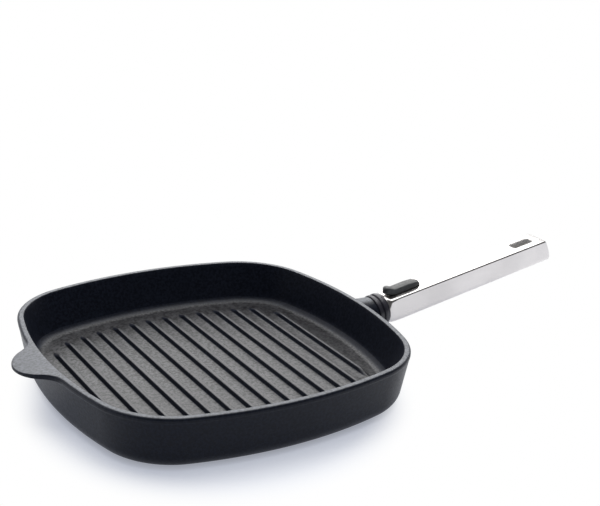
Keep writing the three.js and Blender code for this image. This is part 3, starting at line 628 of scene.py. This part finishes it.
def coatOf(face, c):
    level, place = face.normal.z, face.center
    if level >= c["steep"]:
        return 1 if level < c["level"] or place.z > c["rimFrom"] else 0
    onRib = place.xy.length < c["ribReach"] and place.z > c["ribFrom"]
    return 3 if onRib or face.normal.xy.dot(place.xy) < 0 else 2


panCasting = newPiece("panCasting", panShape(pan), castCoating)
combine(panCasting, newPiece("bossBlank", bossShape(boss, pan), castCoating), "UNION")
combine(panCasting, makeRibs(ribs, pan), "UNION")
for z in boss["holes"]:
    cutOut(panCasting, lyingBar(boss["holeRadius"], *boss["holeEnds"], z))
for finish in coats["finishes"][1:]:
    panCasting.data.materials.append(finish)
for face in panCasting.data.polygons:
    face.material_index = coatOf(face, coats)
soften(panCasting, 35)
standFor(panCasting, "pan", "coating", "pan_body")
print("pan casting:", len(panCasting.data.polygons), "faces")


# ringed guard, turned about a centre above the handle's axis
guard = {"sides": 96, "face": 0.3, "hub": 8, "pocket": 10.6, "mouthEdge": 0.3, "floor": 3.5, "floorEdge": 0.5,
         "floorHub": 6, "end": 10.6, "drillEnds": (-1, 5),
         "profile": ((13.5, 0.3), (13.95, 0.36), (14.3, 0.58), (14.53, 0.9), (14.6, 1.3), (14.6, 2.9), (14.52, 3.25),
                     (14.25, 3.55), (13.75, 3.8), (13.3, 3.95), (13.1, 4.2), (13.1, 4.9), (13.3, 5.15), (13.75, 5.3),
                     (14.25, 5.55), (14.52, 5.85), (14.6, 6.2), (14.6, 7.8), (14.5, 8.2), (14.2, 8.5), (13.8, 8.7),
                     (13.62, 8.95), (13.6, 9.3), (13.6, 10.3), (13.45, 10.52), (13.2, 10.6))}


def guardShape(g):
    pocket, floor, end, rise = g["pocket"], g["floor"], g["end"], handle["rise"]
    inside = ((pocket + g["mouthEdge"], end), (pocket, end - g["mouthEdge"]), (pocket, floor + g["floorEdge"]),
              (pocket - g["floorEdge"], floor), (g["floorHub"], floor))
    stations = ((g["hub"], g["face"]), *g["profile"], *inside)
    rings = [circle(radius, x, rise, g["sides"]) for radius, x in stations]
    return skin([[(g["face"], 0, rise)]] + rings + [[(floor, 0, rise)]])


flameGuard = newPiece("flameGuard", guardShape(guard), guardMoulding, onHandle)
for z in boss["holes"]:
    cutOut(flameGuard, lyingBar(boss["holeRadius"], *guard["drillEnds"], z))
soften(flameGuard, 40)
standFor(flameGuard, "pan", "guard", "flame_guard")
print("guard made")


# steel tube: round in front, a short shoulder, then the plain section up to a leaning, bulging end
tube = {"start": 10.9, "shoulder": 14.8, "shoulderLead": 2, "plain": 23.2, "end": 188.4, "lean": 4, "bulge": 1.6,
        "width": 24, "height": 21.5, "taper": 1.2, "wall": 1.2, "frontRadius": 13.2, "frontFlat": 0.2,
        "topRadius": 1.6, "bottomRadius": 5, "shoulderTop": 3, "shoulderBottom": 6.5, "boreCorner": 0.6,
        "edge": 0.25, "endEdge": ((0, 0.35), (0.1, 0.08), (0.35, 0)), "boreEdge": 0.3, "boreStep": 0.2,
        "stations": (30, 60, 100, 140, 176), "shoulderSteps": 16,
        "cornerSteps": 8, "flatSteps": 10, "sideSteps": 6, "flatEnds": (0.03, 0.97)}


def tubeSection(t, x, inset):
    lead = t["shoulder"] - t["shoulderLead"]
    toShoulder = ease((x - t["start"]) / (t["shoulder"] - t["start"]))
    toPlain = ease((x - lead) / (t["plain"] - lead))
    # the top falls a little towards the end
    extra = t["taper"] * min(1.0, max(0.0, (t["end"] - x) / (t["end"] - t["plain"])))
    width = mix(2 * t["frontRadius"], t["width"], toShoulder) - 2 * inset
    height = mix(2 * t["frontRadius"], t["height"] + extra, toShoulder) - 2 * inset
    rise = mix(handle["rise"], extra / 2, toShoulder)

    def corner(shoulder, plain):
        radius = mix(mix(t["frontRadius"] - t["frontFlat"], shoulder, toShoulder), plain, toPlain)
        return max(radius - inset, t["boreCorner"])

    top, bottom = corner(t["shoulderTop"], t["topRadius"]), corner(t["shoulderBottom"], t["bottomRadius"])
    return boxSection(width, height, top, bottom, rise, t)


def boxSection(width, height, top, bottom, rise, t):
    y, z = width / 2, height / 2
    quarter = math.pi / 2
    places = ((y - top, z - top, top), (top - y, z - top, top),
              (bottom - y, bottom - z, bottom), (y - bottom, bottom - z, bottom))
    corners = [arc(*place, i * quarter, (i + 1) * quarter, t["cornerSteps"]) for i, place in enumerate(places)]
    outline = []
    for i, corner in enumerate(corners):
        outline += corner
        steps = t["flatSteps"] if i % 2 == 0 else t["sideSteps"]
        (ay, az), (by, bz) = corner[-1], corners[(i + 1) % 4][0]
        shares = [t["flatEnds"][0]] + [k / steps for k in range(1, steps)] + [t["flatEnds"][1]]
        outline += [(mix(ay, by, s), mix(az, bz, s)) for s in shares]
    return [(py, pz + rise) for py, pz in outline]


def tubeEnd(t, z):
    s = min(1.0, max(0.0, 0.5 - z / t["height"]))
    middle = t["end"] + t["lean"] / 2 + 2 * t["bulge"]
    return (1 - s) ** 2 * t["end"] + 2 * s * (1 - s) * middle + s * s * (t["end"] + t["lean"])


def tubeShape(t):
    start, wall, edge, steps = t["start"], t["wall"], t["edge"], t["shoulderSteps"]
    stations = [mix(start, t["plain"], i / steps) for i in range(steps + 1)] + list(t["stations"])
    ring = lambda x, inset: [(x, y, z) for y, z in tubeSection(t, x, inset)]
    endRing = lambda inset, back: [(tubeEnd(t, z) - back, y, z) for y, z in tubeSection(t, t["end"], inset)]
    front = [ring(start, wall - edge), ring(start, edge)]
    outside = [ring(max(x, start + edge), 0) for x in stations] + [endRing(*given) for given in t["endEdge"]]
    inside = [endRing(wall - t["boreStep"], 0), endRing(wall, t["boreEdge"])]
    inside += [ring(x, wall) for x in (*reversed(stations[1:]), start + t["boreEdge"])]
    return skin(front + outside + inside, loop=True)


def roundedPlan(centre, length, width, radius, steps=10):
    x, y = length / 2 - radius, width / 2 - radius
    places = ((x, y), (-x, y), (-x, -y), (x, -y))
    outline = []
    for i, (dx, dy) in enumerate(places):
        outline += arc(centre + dx, dy, radius, i * math.pi / 2, (i + 1) * math.pi / 2, steps)
    return outline


def upright(outline, z0, z1):
    cx = sum(x for x, y in outline) / len(outline)
    levels = [[(x, y, z) for x, y in outline] for z in (z0, z1)]
    return skin([[(cx, 0, z0)]] + levels + [[(cx, 0, z1)]])


def standingBar(radius, x, z0, z1, sides=32):
    return upright([(x + radius * math.cos(a), radius * math.sin(a)) for a in around(sides)], z0, z1)


hang = {"centre": 168.8, "length": 23.5, "width": 10.8, "corner": 3.6, "gap": 0.3, "wall": 1.0, "edge": 0.25,
        "boreEdge": 0.3, "cut": (-22, 22)}
stemSlot = {"start": 25.5, "end": 49.1, "width": 6.6, "corner": 0.6, "steps": 4, "cut": (2, 22)}
handleScrews = {"stations": (22.2, 91.7), "hole": 1.8, "cut": (-22, -2)}

handleShell = newPiece("handleShell", tubeShape(tube), polishedSteel, onHandle)
hangPlan = roundedPlan(hang["centre"], hang["length"], hang["width"], hang["corner"])
stemPlan = roundedPlan((stemSlot["start"] + stemSlot["end"]) / 2, stemSlot["end"] - stemSlot["start"],
                       stemSlot["width"], stemSlot["corner"], stemSlot["steps"])
cutOut(handleShell, upright(hangPlan, *hang["cut"]))
cutOut(handleShell, upright(stemPlan, *stemSlot["cut"]))
for x in handleScrews["stations"]:
    cutOut(handleShell, standingBar(handleScrews["hole"], x, *handleScrews["cut"]))
soften(handleShell, 32)
standFor(handleShell, "handle", "steel", "handle_shell")
print("handle tube:", len(handleShell.data.polygons), "faces")


def linerShape(h, t):
    half, wall, edge, bore = t["height"] / 2, h["wall"], h["edge"], h["boreEdge"]

    def ring(inset, z):
        inset += h["gap"]
        plan = roundedPlan(h["centre"], h["length"] - 2 * inset, h["width"] - 2 * inset, h["corner"] - inset)
        return [(x, y, z) for x, y in plan]

    rings = [ring(0, half - edge), ring(edge, half), ring(wall - bore, half), ring(wall, half - bore), ring(wall, 0),
             ring(wall, bore - half), ring(wall - bore, -half), ring(edge, -half), ring(0, edge - half), ring(0, 0)]
    return skin(rings[::-1], loop=True)


hangLiner = newPiece("hangLiner", linerShape(hang, tube), linerMoulding, onHandle)
soften(hangLiner, 50)
standFor(hangLiner, "handle", "slider", "hang_liner")

plate = {"inset": 1.5, "thickness": 2.5, "edge": 0.4, "innerShares": (0.3, 0.65, 1.0), "outerShares": (0.9, 0.6, 0.3)}


def plateShape(e, t):
    inset, back, edge = e["inset"], e["thickness"], e["edge"]

    def ring(d, depth, share=1.0):
        outline = boxSection(t["width"] - 2 * d, t["height"] - 2 * d, t["boreCorner"],
                             t["bottomRadius"] - inset, 0, t)
        return [(tubeEnd(t, z * share) - depth, y * share, z * share) for y, z in outline]

    rings = [[(tubeEnd(t, 0) - back, 0, 0)]] + [ring(inset + edge, back, share) for share in e["innerShares"]]
    rings += [ring(inset, back - edge), ring(inset, edge)]
    rings += [ring(inset + midBevel * edge, midBevel * edge), ring(inset + edge, 0)]
    rings += [ring(inset + edge, 0, share) for share in e["outerShares"]] + [[(tubeEnd(t, 0), 0, 0)]]
    return skin(rings)


endPlate = newPiece("endPlate", plateShape(plate, tube), polishedSteel, onHandle)
soften(endPlate, 40)
standFor(endPlate, "handle", "steel", "end_plate")
print("liner and end plate made")


# thumb slider: raised front lip, thumb scoop and a long crown on a stem
slider = {"start": 13.4, "length": 38.2, "width": 11.2, "frontRound": 10, "rearRound": 7, "foot": 12.2, "edge": 1.5,
          "draft": 0.8, "crown": 0.5, "liftFrom": 26, "lift": 2.6, "liftPower": 1.4, "leastRound": 0.02,
          "footEdge": ((0.4, 0), (0.1, 0.15), (0, 0.5)), "edgeTurns": (15, 30, 45, 60, 75, 90),
          "crownShares": (0.25, 0.5, 0.75, 1.0), "rearSteps": 20, "sideSteps": 20, "frontSteps": 24,
          "top": ((0, 6.9), (2.8, 7.6), (6.4, 6.6), (11, 4.6), (22.8, 4.7), (31, 4.1), (38.2, 2.6)),
          "stem": (25.8, 41.8, 3.0, 9.4), "stemCorner": 0.4, "stemSteps": 4, "stemLap": 1,
          "holes": (29.3, 38.3), "holeRadius": 1.5, "holeEnds": (8, 13.65)}


def through(knots, x):
    # smooth curve through the knots that never swings past them
    x = min(max(x, knots[0][0]), knots[-1][0])
    gaps = [(b[0] - a[0], (b[1] - a[1]) / (b[0] - a[0])) for a, b in zip(knots, knots[1:])]
    slopes = [gaps[0][1]]
    for (h0, d0), (h1, d1) in zip(gaps, gaps[1:]):
        slopes.append(0.0 if d0 * d1 <= 0 else (h0 + h1) * d0 * d1 / (h1 * d1 + h0 * d0))
    slopes.append(gaps[-1][1])
    i = max(k for k in range(len(gaps)) if x >= knots[k][0])
    h, t = gaps[i][0], (x - knots[i][0]) / gaps[i][0]
    (x0, y0), (x1, y1) = knots[i], knots[i + 1]
    return ((1 + 2 * t) * (1 - t) ** 2 * y0 + t * (1 - t) ** 2 * h * slopes[i]
            + t * t * (3 - 2 * t) * y1 + t * t * (t - 1) * h * slopes[i + 1])


def sliderShape(s):
    length, width, start = s["length"], s["width"], s["start"]
    foot, edge, draft = s["foot"], s["edge"], s["draft"]
    quarter = math.pi / 2
    rearArc = arc(0, 0, 1, -quarter, quarter, s["rearSteps"])
    frontArc = arc(0, 0, 1, quarter, 3 * quarter, s["frontSteps"])

    def plan(inset):
        # half an ellipse at either end, straight sides between
        y, front, rear = (max(v - inset, s["leastRound"]) for v in (width / 2, s["frontRound"], s["rearRound"]))
        frontX, rearX = start + inset + front, start + length - inset - rear
        sides = [mix(rearX, frontX, j / s["sideSteps"]) for j in range(1, s["sideSteps"])]
        outline = [(rearX + rear * u, y * v) for u, v in rearArc] + [(x, y) for x in sides]
        outline += [(frontX + front * u, y * v) for u, v in frontArc]
        return outline + [(x, -y) for x in reversed(sides)]

    def under(x):
        # the nose lifts clear of the tube
        return foot + s["lift"] * max(0.0, (s["liftFrom"] - x) / (s["liftFrom"] - start)) ** s["liftPower"]

    top = lambda x: foot + through(s["top"], x - start)
    footRise = s["footEdge"][-1][1]
    rings = [[(start + length / 2, 0, foot)]]
    rings += [[(x, y, under(x) + rise) for x, y in plan(inset)] for inset, rise in s["footEdge"]]
    for share in (0.5, 1.0):
        rings.append([(x, y, mix(under(x) + footRise, top(x) - edge, share)) for x, y in plan(draft * share)])
    for a in (math.radians(t) for t in s["edgeTurns"]):
        inset = draft + edge * (1 - math.cos(a))
        rings.append([(x, y, top(x) - edge * (1 - math.sin(a))) for x, y in plan(inset)])
    # the crown closes on the middle line
    for share in s["crownShares"]:
        swell = s["crown"] * (1 - (1 - share) ** 2) / (width / 2 - draft - edge)
        rings.append([(x, y * (1 - share), top(x) + swell * abs(y)) for x, y in plan(draft + edge)])
    return skin(rings)


thumbSlider = newPiece("thumbSlider", sliderShape(slider), sliderMoulding, onHandle, merge=0.03)
stemStart, stemEnd, stemHalf, stemFoot = slider["stem"]
stemPlan = roundedPlan((stemStart + stemEnd) / 2, stemEnd - stemStart, 2 * stemHalf,
                       slider["stemCorner"], slider["stemSteps"])
stem = upright(stemPlan, stemFoot, slider["foot"] + slider["stemLap"])
combine(thumbSlider, newPiece("stemBlank", stem, sliderMoulding, onHandle), "UNION")
for x in slider["holes"]:
    cutOut(thumbSlider, standingBar(slider["holeRadius"], x, *slider["holeEnds"]))
soften(thumbSlider, 40)
standFor(thumbSlider, "slider", "slider", "thumb_slider")
print("thumb slider:", len(thumbSlider.data.polygons), "faces")


# return spring: one smooth coil; on the real handle it shortens as the slider is drawn back
coil = {"start": 46.35, "end": 71.65, "axis": 7.55, "radius": 1.45, "wire": 0.25,
        "turns": 9, "steps": 28, "sides": 10}


def coilShape(c):
    count = c["turns"] * c["steps"]
    pitch = (c["end"] - c["start"]) / c["turns"]
    rings, ends = [], []
    for i in range(count + 1):
        a = 2 * math.pi * i / c["steps"]
        centre = Vector((mix(c["start"], c["end"], i / count),
                         c["radius"] * math.cos(a), c["axis"] + c["radius"] * math.sin(a)))
        out = Vector((0, math.cos(a), math.sin(a)))
        along = Vector((pitch / (2 * math.pi), -c["radius"] * math.sin(a), c["radius"] * math.cos(a))).normalized()
        side = along.cross(out)
        rings.append([tuple(centre + c["wire"] * (out * math.cos(b) + side * math.sin(b)))
                      for b in around(c["sides"])])
        ends.append(tuple(centre))
    return skin([[ends[0]]] + rings + [[ends[-1]]])


returnSpring = newPiece("returnSpring", coilShape(coil), springSteel, onHandle)
soften(returnSpring, 60)
standFor(returnSpring, "handle", "spring", "return_spring")
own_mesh(returnSpring)
print("return spring made")


# screws and rivets: one blank each, set out in rows
def fastenerTree():
    tree, sockets, given = startRow("fastenerRow", {"Count": "Int", "First place": "Vector", "Step": "Vector"})
    row = line(tree, given["Count"], given["First place"], given["Step"])
    endRow(tree, setOut(tree, row, given["Blank"]), given["Finish"])
    return tree, sockets


screwForm = {"sides": 24, "tip": 0.4, "headFoot": 0.1, "bevel": 0.25, "keyFloor": 0.45, "keyPoint": 0.4,
             "domeRing": 0.02, "domeTop": 0.03}


def screwBlank(shank, length, head, high, key, s=screwForm):
    # head up along Z with its foot at zero; the key is a six-sided recess
    turn = around(s["sides"])
    ring = lambda radius, z: [(radius * math.cos(a), radius * math.sin(a), z) for a in turn]

    def sixSided(radius, z):
        flat = math.pi / 6
        reach = [radius * math.cos(flat) / math.cos(a % (math.pi / 3) - flat) for a in turn]
        return [(r * math.cos(a), r * math.sin(a), z) for r, a in zip(reach, turn)]

    tip, headFoot, bevel = s["tip"], s["headFoot"], s["bevel"]
    rings = [[(0, 0, -length)], ring(shank - tip, -length), ring(shank, tip - length), ring(shank, 0),
             ring(head - headFoot, 0), ring(head, headFoot), ring(head, high - bevel),
             ring(head - midBevel * bevel, high - midBevel * bevel), ring(head - bevel, high)]
    if key:
        rings += [sixSided(key, high), sixSided(key, high * s["keyFloor"]), [(0, 0, high * s["keyPoint"])]]
    else:
        rings += [ring(head / 2, high + s["domeRing"]), [(0, 0, high + s["domeTop"])]]
    return skin(rings)


# blank: shank radius and length, head radius and height, key radius
fasteners = {
    "tongueScrews": {"blank": (1.85, 16.6, 2.3, 2.4, 1.25), "first": (6.6, 0, 5.2), "step": (0, 0, -10.4),
                     "turn": (90, "Y"), "body": "pan", "nodes": ("tongue_screw_upper", "tongue_screw_lower")},
    "insertScrews": {"blank": (1.5, 7.5, 2.9, 1.5, 1.5), "first": (22.2, 0, -11.05), "step": (69.5, 0, 0),
                     "turn": (180, "X"), "body": "handle", "nodes": ("insert_screw_front", "insert_screw_rear")},
    "catchRivets": {"blank": (1.3, 4.4, 2.3, 0.85, 0), "first": (85.2, 0, 4.6), "step": (7, 0, 0),
                    "turn": (0, "X"), "body": "handle", "nodes": ("catch_rivet_front", "catch_rivet_rear")},
    "sliderScrews": {"blank": (1.2, 7.15, 2.1, 1.3, 1.05), "first": (29.3, 0, 6.2), "step": (9, 0, 0),
                     "turn": (180, "X"), "body": "slider", "nodes": ("slider_screw_front", "slider_screw_rear")},
}
fastenerNodes = fastenerTree()


def fastenerRow(name, f):
    angle, about = f["turn"]
    turn = onHandle.to_3x3().to_4x4() @ Matrix.Rotation(math.radians(angle), 4, about)
    piece = newPiece(name, screwBlank(*f["blank"]), polishedSteel, turn)
    useRow(piece, *fastenerNodes, {
        "Count": len(f["nodes"]), "First place": tuple(onHandle @ Vector(f["first"]) * mm),
        "Step": tuple(onHandle.to_3x3() @ Vector(f["step"]) * mm), "Finish": polishedSteel})
    soften(piece, 30)
    standFor(piece, f["body"], "steel", *f["nodes"])


for name, given in fasteners.items():
    fastenerRow(name, given)
print("fasteners made")

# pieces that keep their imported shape
keptFinishes = {"mount_tongue": polishedSteel, "socket_insert": blackMoulding, "catch_spring": springSteel,
                "slider_carriage": blackMoulding, "spring_guide": polishedSteel}
for name, finish in keptFinishes.items():
    for place in cadNodes[name].material_slots:
        place.material = finish
print("kept pieces finished")


# camera, floor and light
camera = {"azimuth": -32.58, "elevation": 19.62, "roll": 2.81, "place": (-397.92, -747.11, 409.56),
          "focus": 1163.61, "imageWidth": 600, "sensor": 36, "clip": (0.01, 50)}


def makeCamera(c):
    a, e, r = (math.radians(c[k]) for k in ("azimuth", "elevation", "roll"))
    back = Vector((math.sin(a) * math.cos(e), -math.cos(a) * math.cos(e), math.sin(e)))
    right = Vector((math.cos(a), math.sin(a), 0))
    up = back.cross(right)
    across = right * math.cos(r) + up * math.sin(r)
    above = up * math.cos(r) - right * math.sin(r)
    lens = bpy.data.cameras.new("photoCamera")
    lens.sensor_width = c["sensor"]
    lens.lens = c["focus"] / c["imageWidth"] * c["sensor"]
    lens.clip_start, lens.clip_end = c["clip"]
    eye = bpy.data.objects.new("photoCamera", lens)
    scene.collection.objects.link(eye)
    turn = Matrix((across, above, back)).transposed().to_4x4()
    eye.matrix_world = Matrix.Translation(Vector(c["place"]) * mm) @ turn
    scene.camera = eye


makeCamera(camera)
scene.view_settings.view_transform = "Standard"

# floorDrop is in millimetres, the other lengths in metres
studio = {"floorHalf": 6, "floorDrop": 0.2, "floorColour": (0.76, 0.745, 0.70, 1), "white": (1, 1, 1, 1),
          "bounceColour": (0.31, 0.335, 0.39, 1), "lift": (0.435, 0.455, 0.515, 1),
          "contact": 0.005, "contactShadow": 0.65,
          "paleFrom": {"place": (-0.0018, -0.0155, 0), "turn": -32.58, "reach": (0.159, 0.184, 1), "start": 0.765},
          "ambient": (0.68, 0.82, 1.1, 1), "ambientLevel": 0.13, "mirrorLight": 0.8, "mirrorDark": 0.1,
          "darkSide": (0.15, -0.05), "darkFoot": (0.0, 0.1),
          "key": {"size": (1.8, 2.2), "place": (0.345, 0.553, 1.46), "aim": (0, 0, 0), "power": 30},
          "rear": {"size": (1.25, 0.9), "place": (0.8, 1.39, 0.82), "aim": (0.05, 0, 0.05), "power": 4.8}}


def seenRay(tree):
    path = tree.nodes.new("ShaderNodeLightPath").outputs
    mirrored = calc(tree, "MAXIMUM", path["Is Glossy Ray"], path["Is Transmission Ray"])
    return path["Is Camera Ray"], calc(tree, "MAXIMUM", path["Is Camera Ray"], mirrored)


def shine(tree, kind, colour, strength=1.0):
    node = tree.nodes.new(kind)
    node.inputs["Color"].default_value = colour
    plug(tree, strength, node.inputs["Strength"])
    return node.outputs[0]


def blendShader(tree, share, first, second):
    node = tree.nodes.new("ShaderNodeMixShader")
    for socket, given in zip(node.inputs, (share, first, second)):
        plug(tree, given, socket)
    return node.outputs[0]


def makeFloor(s):
    finish = bpy.data.materials.new("paleFloor")
    tree = emptyTree(finish)
    direct, seen = seenRay(tree)
    matte = tree.nodes.new("ShaderNodeBsdfDiffuse")
    plug(tree, blendColour(tree, seen, s["bounceColour"], s["floorColour"]), matte.inputs["Color"])
    # painted contact shadow: the floor's glow is darker where the foot meets the floor
    close = tree.nodes.new("ShaderNodeAmbientOcclusion")
    close.inputs["Distance"].default_value = s["contact"]
    clear = span(tree, close.outputs["AO"], 0, 1, s["contactShadow"], 1.0)
    glow = shine(tree, "ShaderNodeEmission", s["lift"], calc(tree, "MULTIPLY", seen, clear))
    both = tree.nodes.new("ShaderNodeAddShader")
    plug(tree, matte.outputs[0], both.inputs[0])
    plug(tree, glow, both.inputs[1])
    # away from the object the floor runs out into white
    pale = s["paleFrom"]
    place = tree.nodes.new("ShaderNodeTexCoord").outputs["Object"]
    oval = mapped(tree, place, "TEXTURE", pale["place"], (0, 0, math.radians(pale["turn"])), pale["reach"])
    away = tree.nodes.new("ShaderNodeVectorMath")
    away.operation = "LENGTH"
    plug(tree, oval, away.inputs[0])
    far = span(tree, away.outputs["Value"], pale["start"], 1.0, 0, 1, True)
    white = shine(tree, "ShaderNodeEmission", s["white"])
    whole = blendShader(tree, calc(tree, "MULTIPLY", far, direct), both.outputs[0], white)
    plug(tree, whole, tree.nodes.new("ShaderNodeOutputMaterial").inputs["Surface"])
    half, z = s["floorHalf"] / mm, -s["floorDrop"]
    corners = [(-half, -half, z), (half, -half, z), (half, half, z), (-half, half, z)]
    floor = newPiece("paleFloor", (corners, [[0, 1, 2, 3]]), finish)


def makeWorld(s):
    world = bpy.data.worlds.new("studio")
    scene.world = world
    tree = emptyTree(world)
    direct, seen = seenRay(tree)
    aim = tree.nodes.new("ShaderNodeTexCoord").outputs["Generated"]
    # the side behind the camera is dark to a mirror, the rest white
    front = calc(tree, "MULTIPLY", span(tree, part(tree, aim, "Y"), *s["darkSide"], 0, 1, True),
                 span(tree, part(tree, aim, "Z"), *s["darkFoot"], 0, 1, True))
    mirrored = span(tree, front, 0, 1, s["mirrorLight"], s["mirrorDark"])
    white = shine(tree, "ShaderNodeBackground", s["white"], calc(tree, "MAXIMUM", mirrored, direct))
    soft = shine(tree, "ShaderNodeBackground", s["ambient"], s["ambientLevel"])
    either = blendShader(tree, seen, soft, white)
    plug(tree, either, tree.nodes.new("ShaderNodeOutputWorld").inputs["Surface"])


def makeLamp(name, given):
    lamp = bpy.data.lights.new(name, "AREA")
    lamp.shape = "RECTANGLE"
    lamp.size, lamp.size_y = given["size"]
    lamp.energy = given["power"]
    box = bpy.data.objects.new(name, lamp)
    scene.collection.objects.link(box)
    box.location = given["place"]
    box.visible_camera = False
    box.rotation_euler = (Vector(given["aim"]) - Vector(given["place"])).to_track_quat("-Z", "Y").to_euler()


makeFloor(studio)
makeWorld(studio)
makeLamp("key", studio["key"])
makeLamp("rear", studio["rear"])
print("camera, floor and light set")
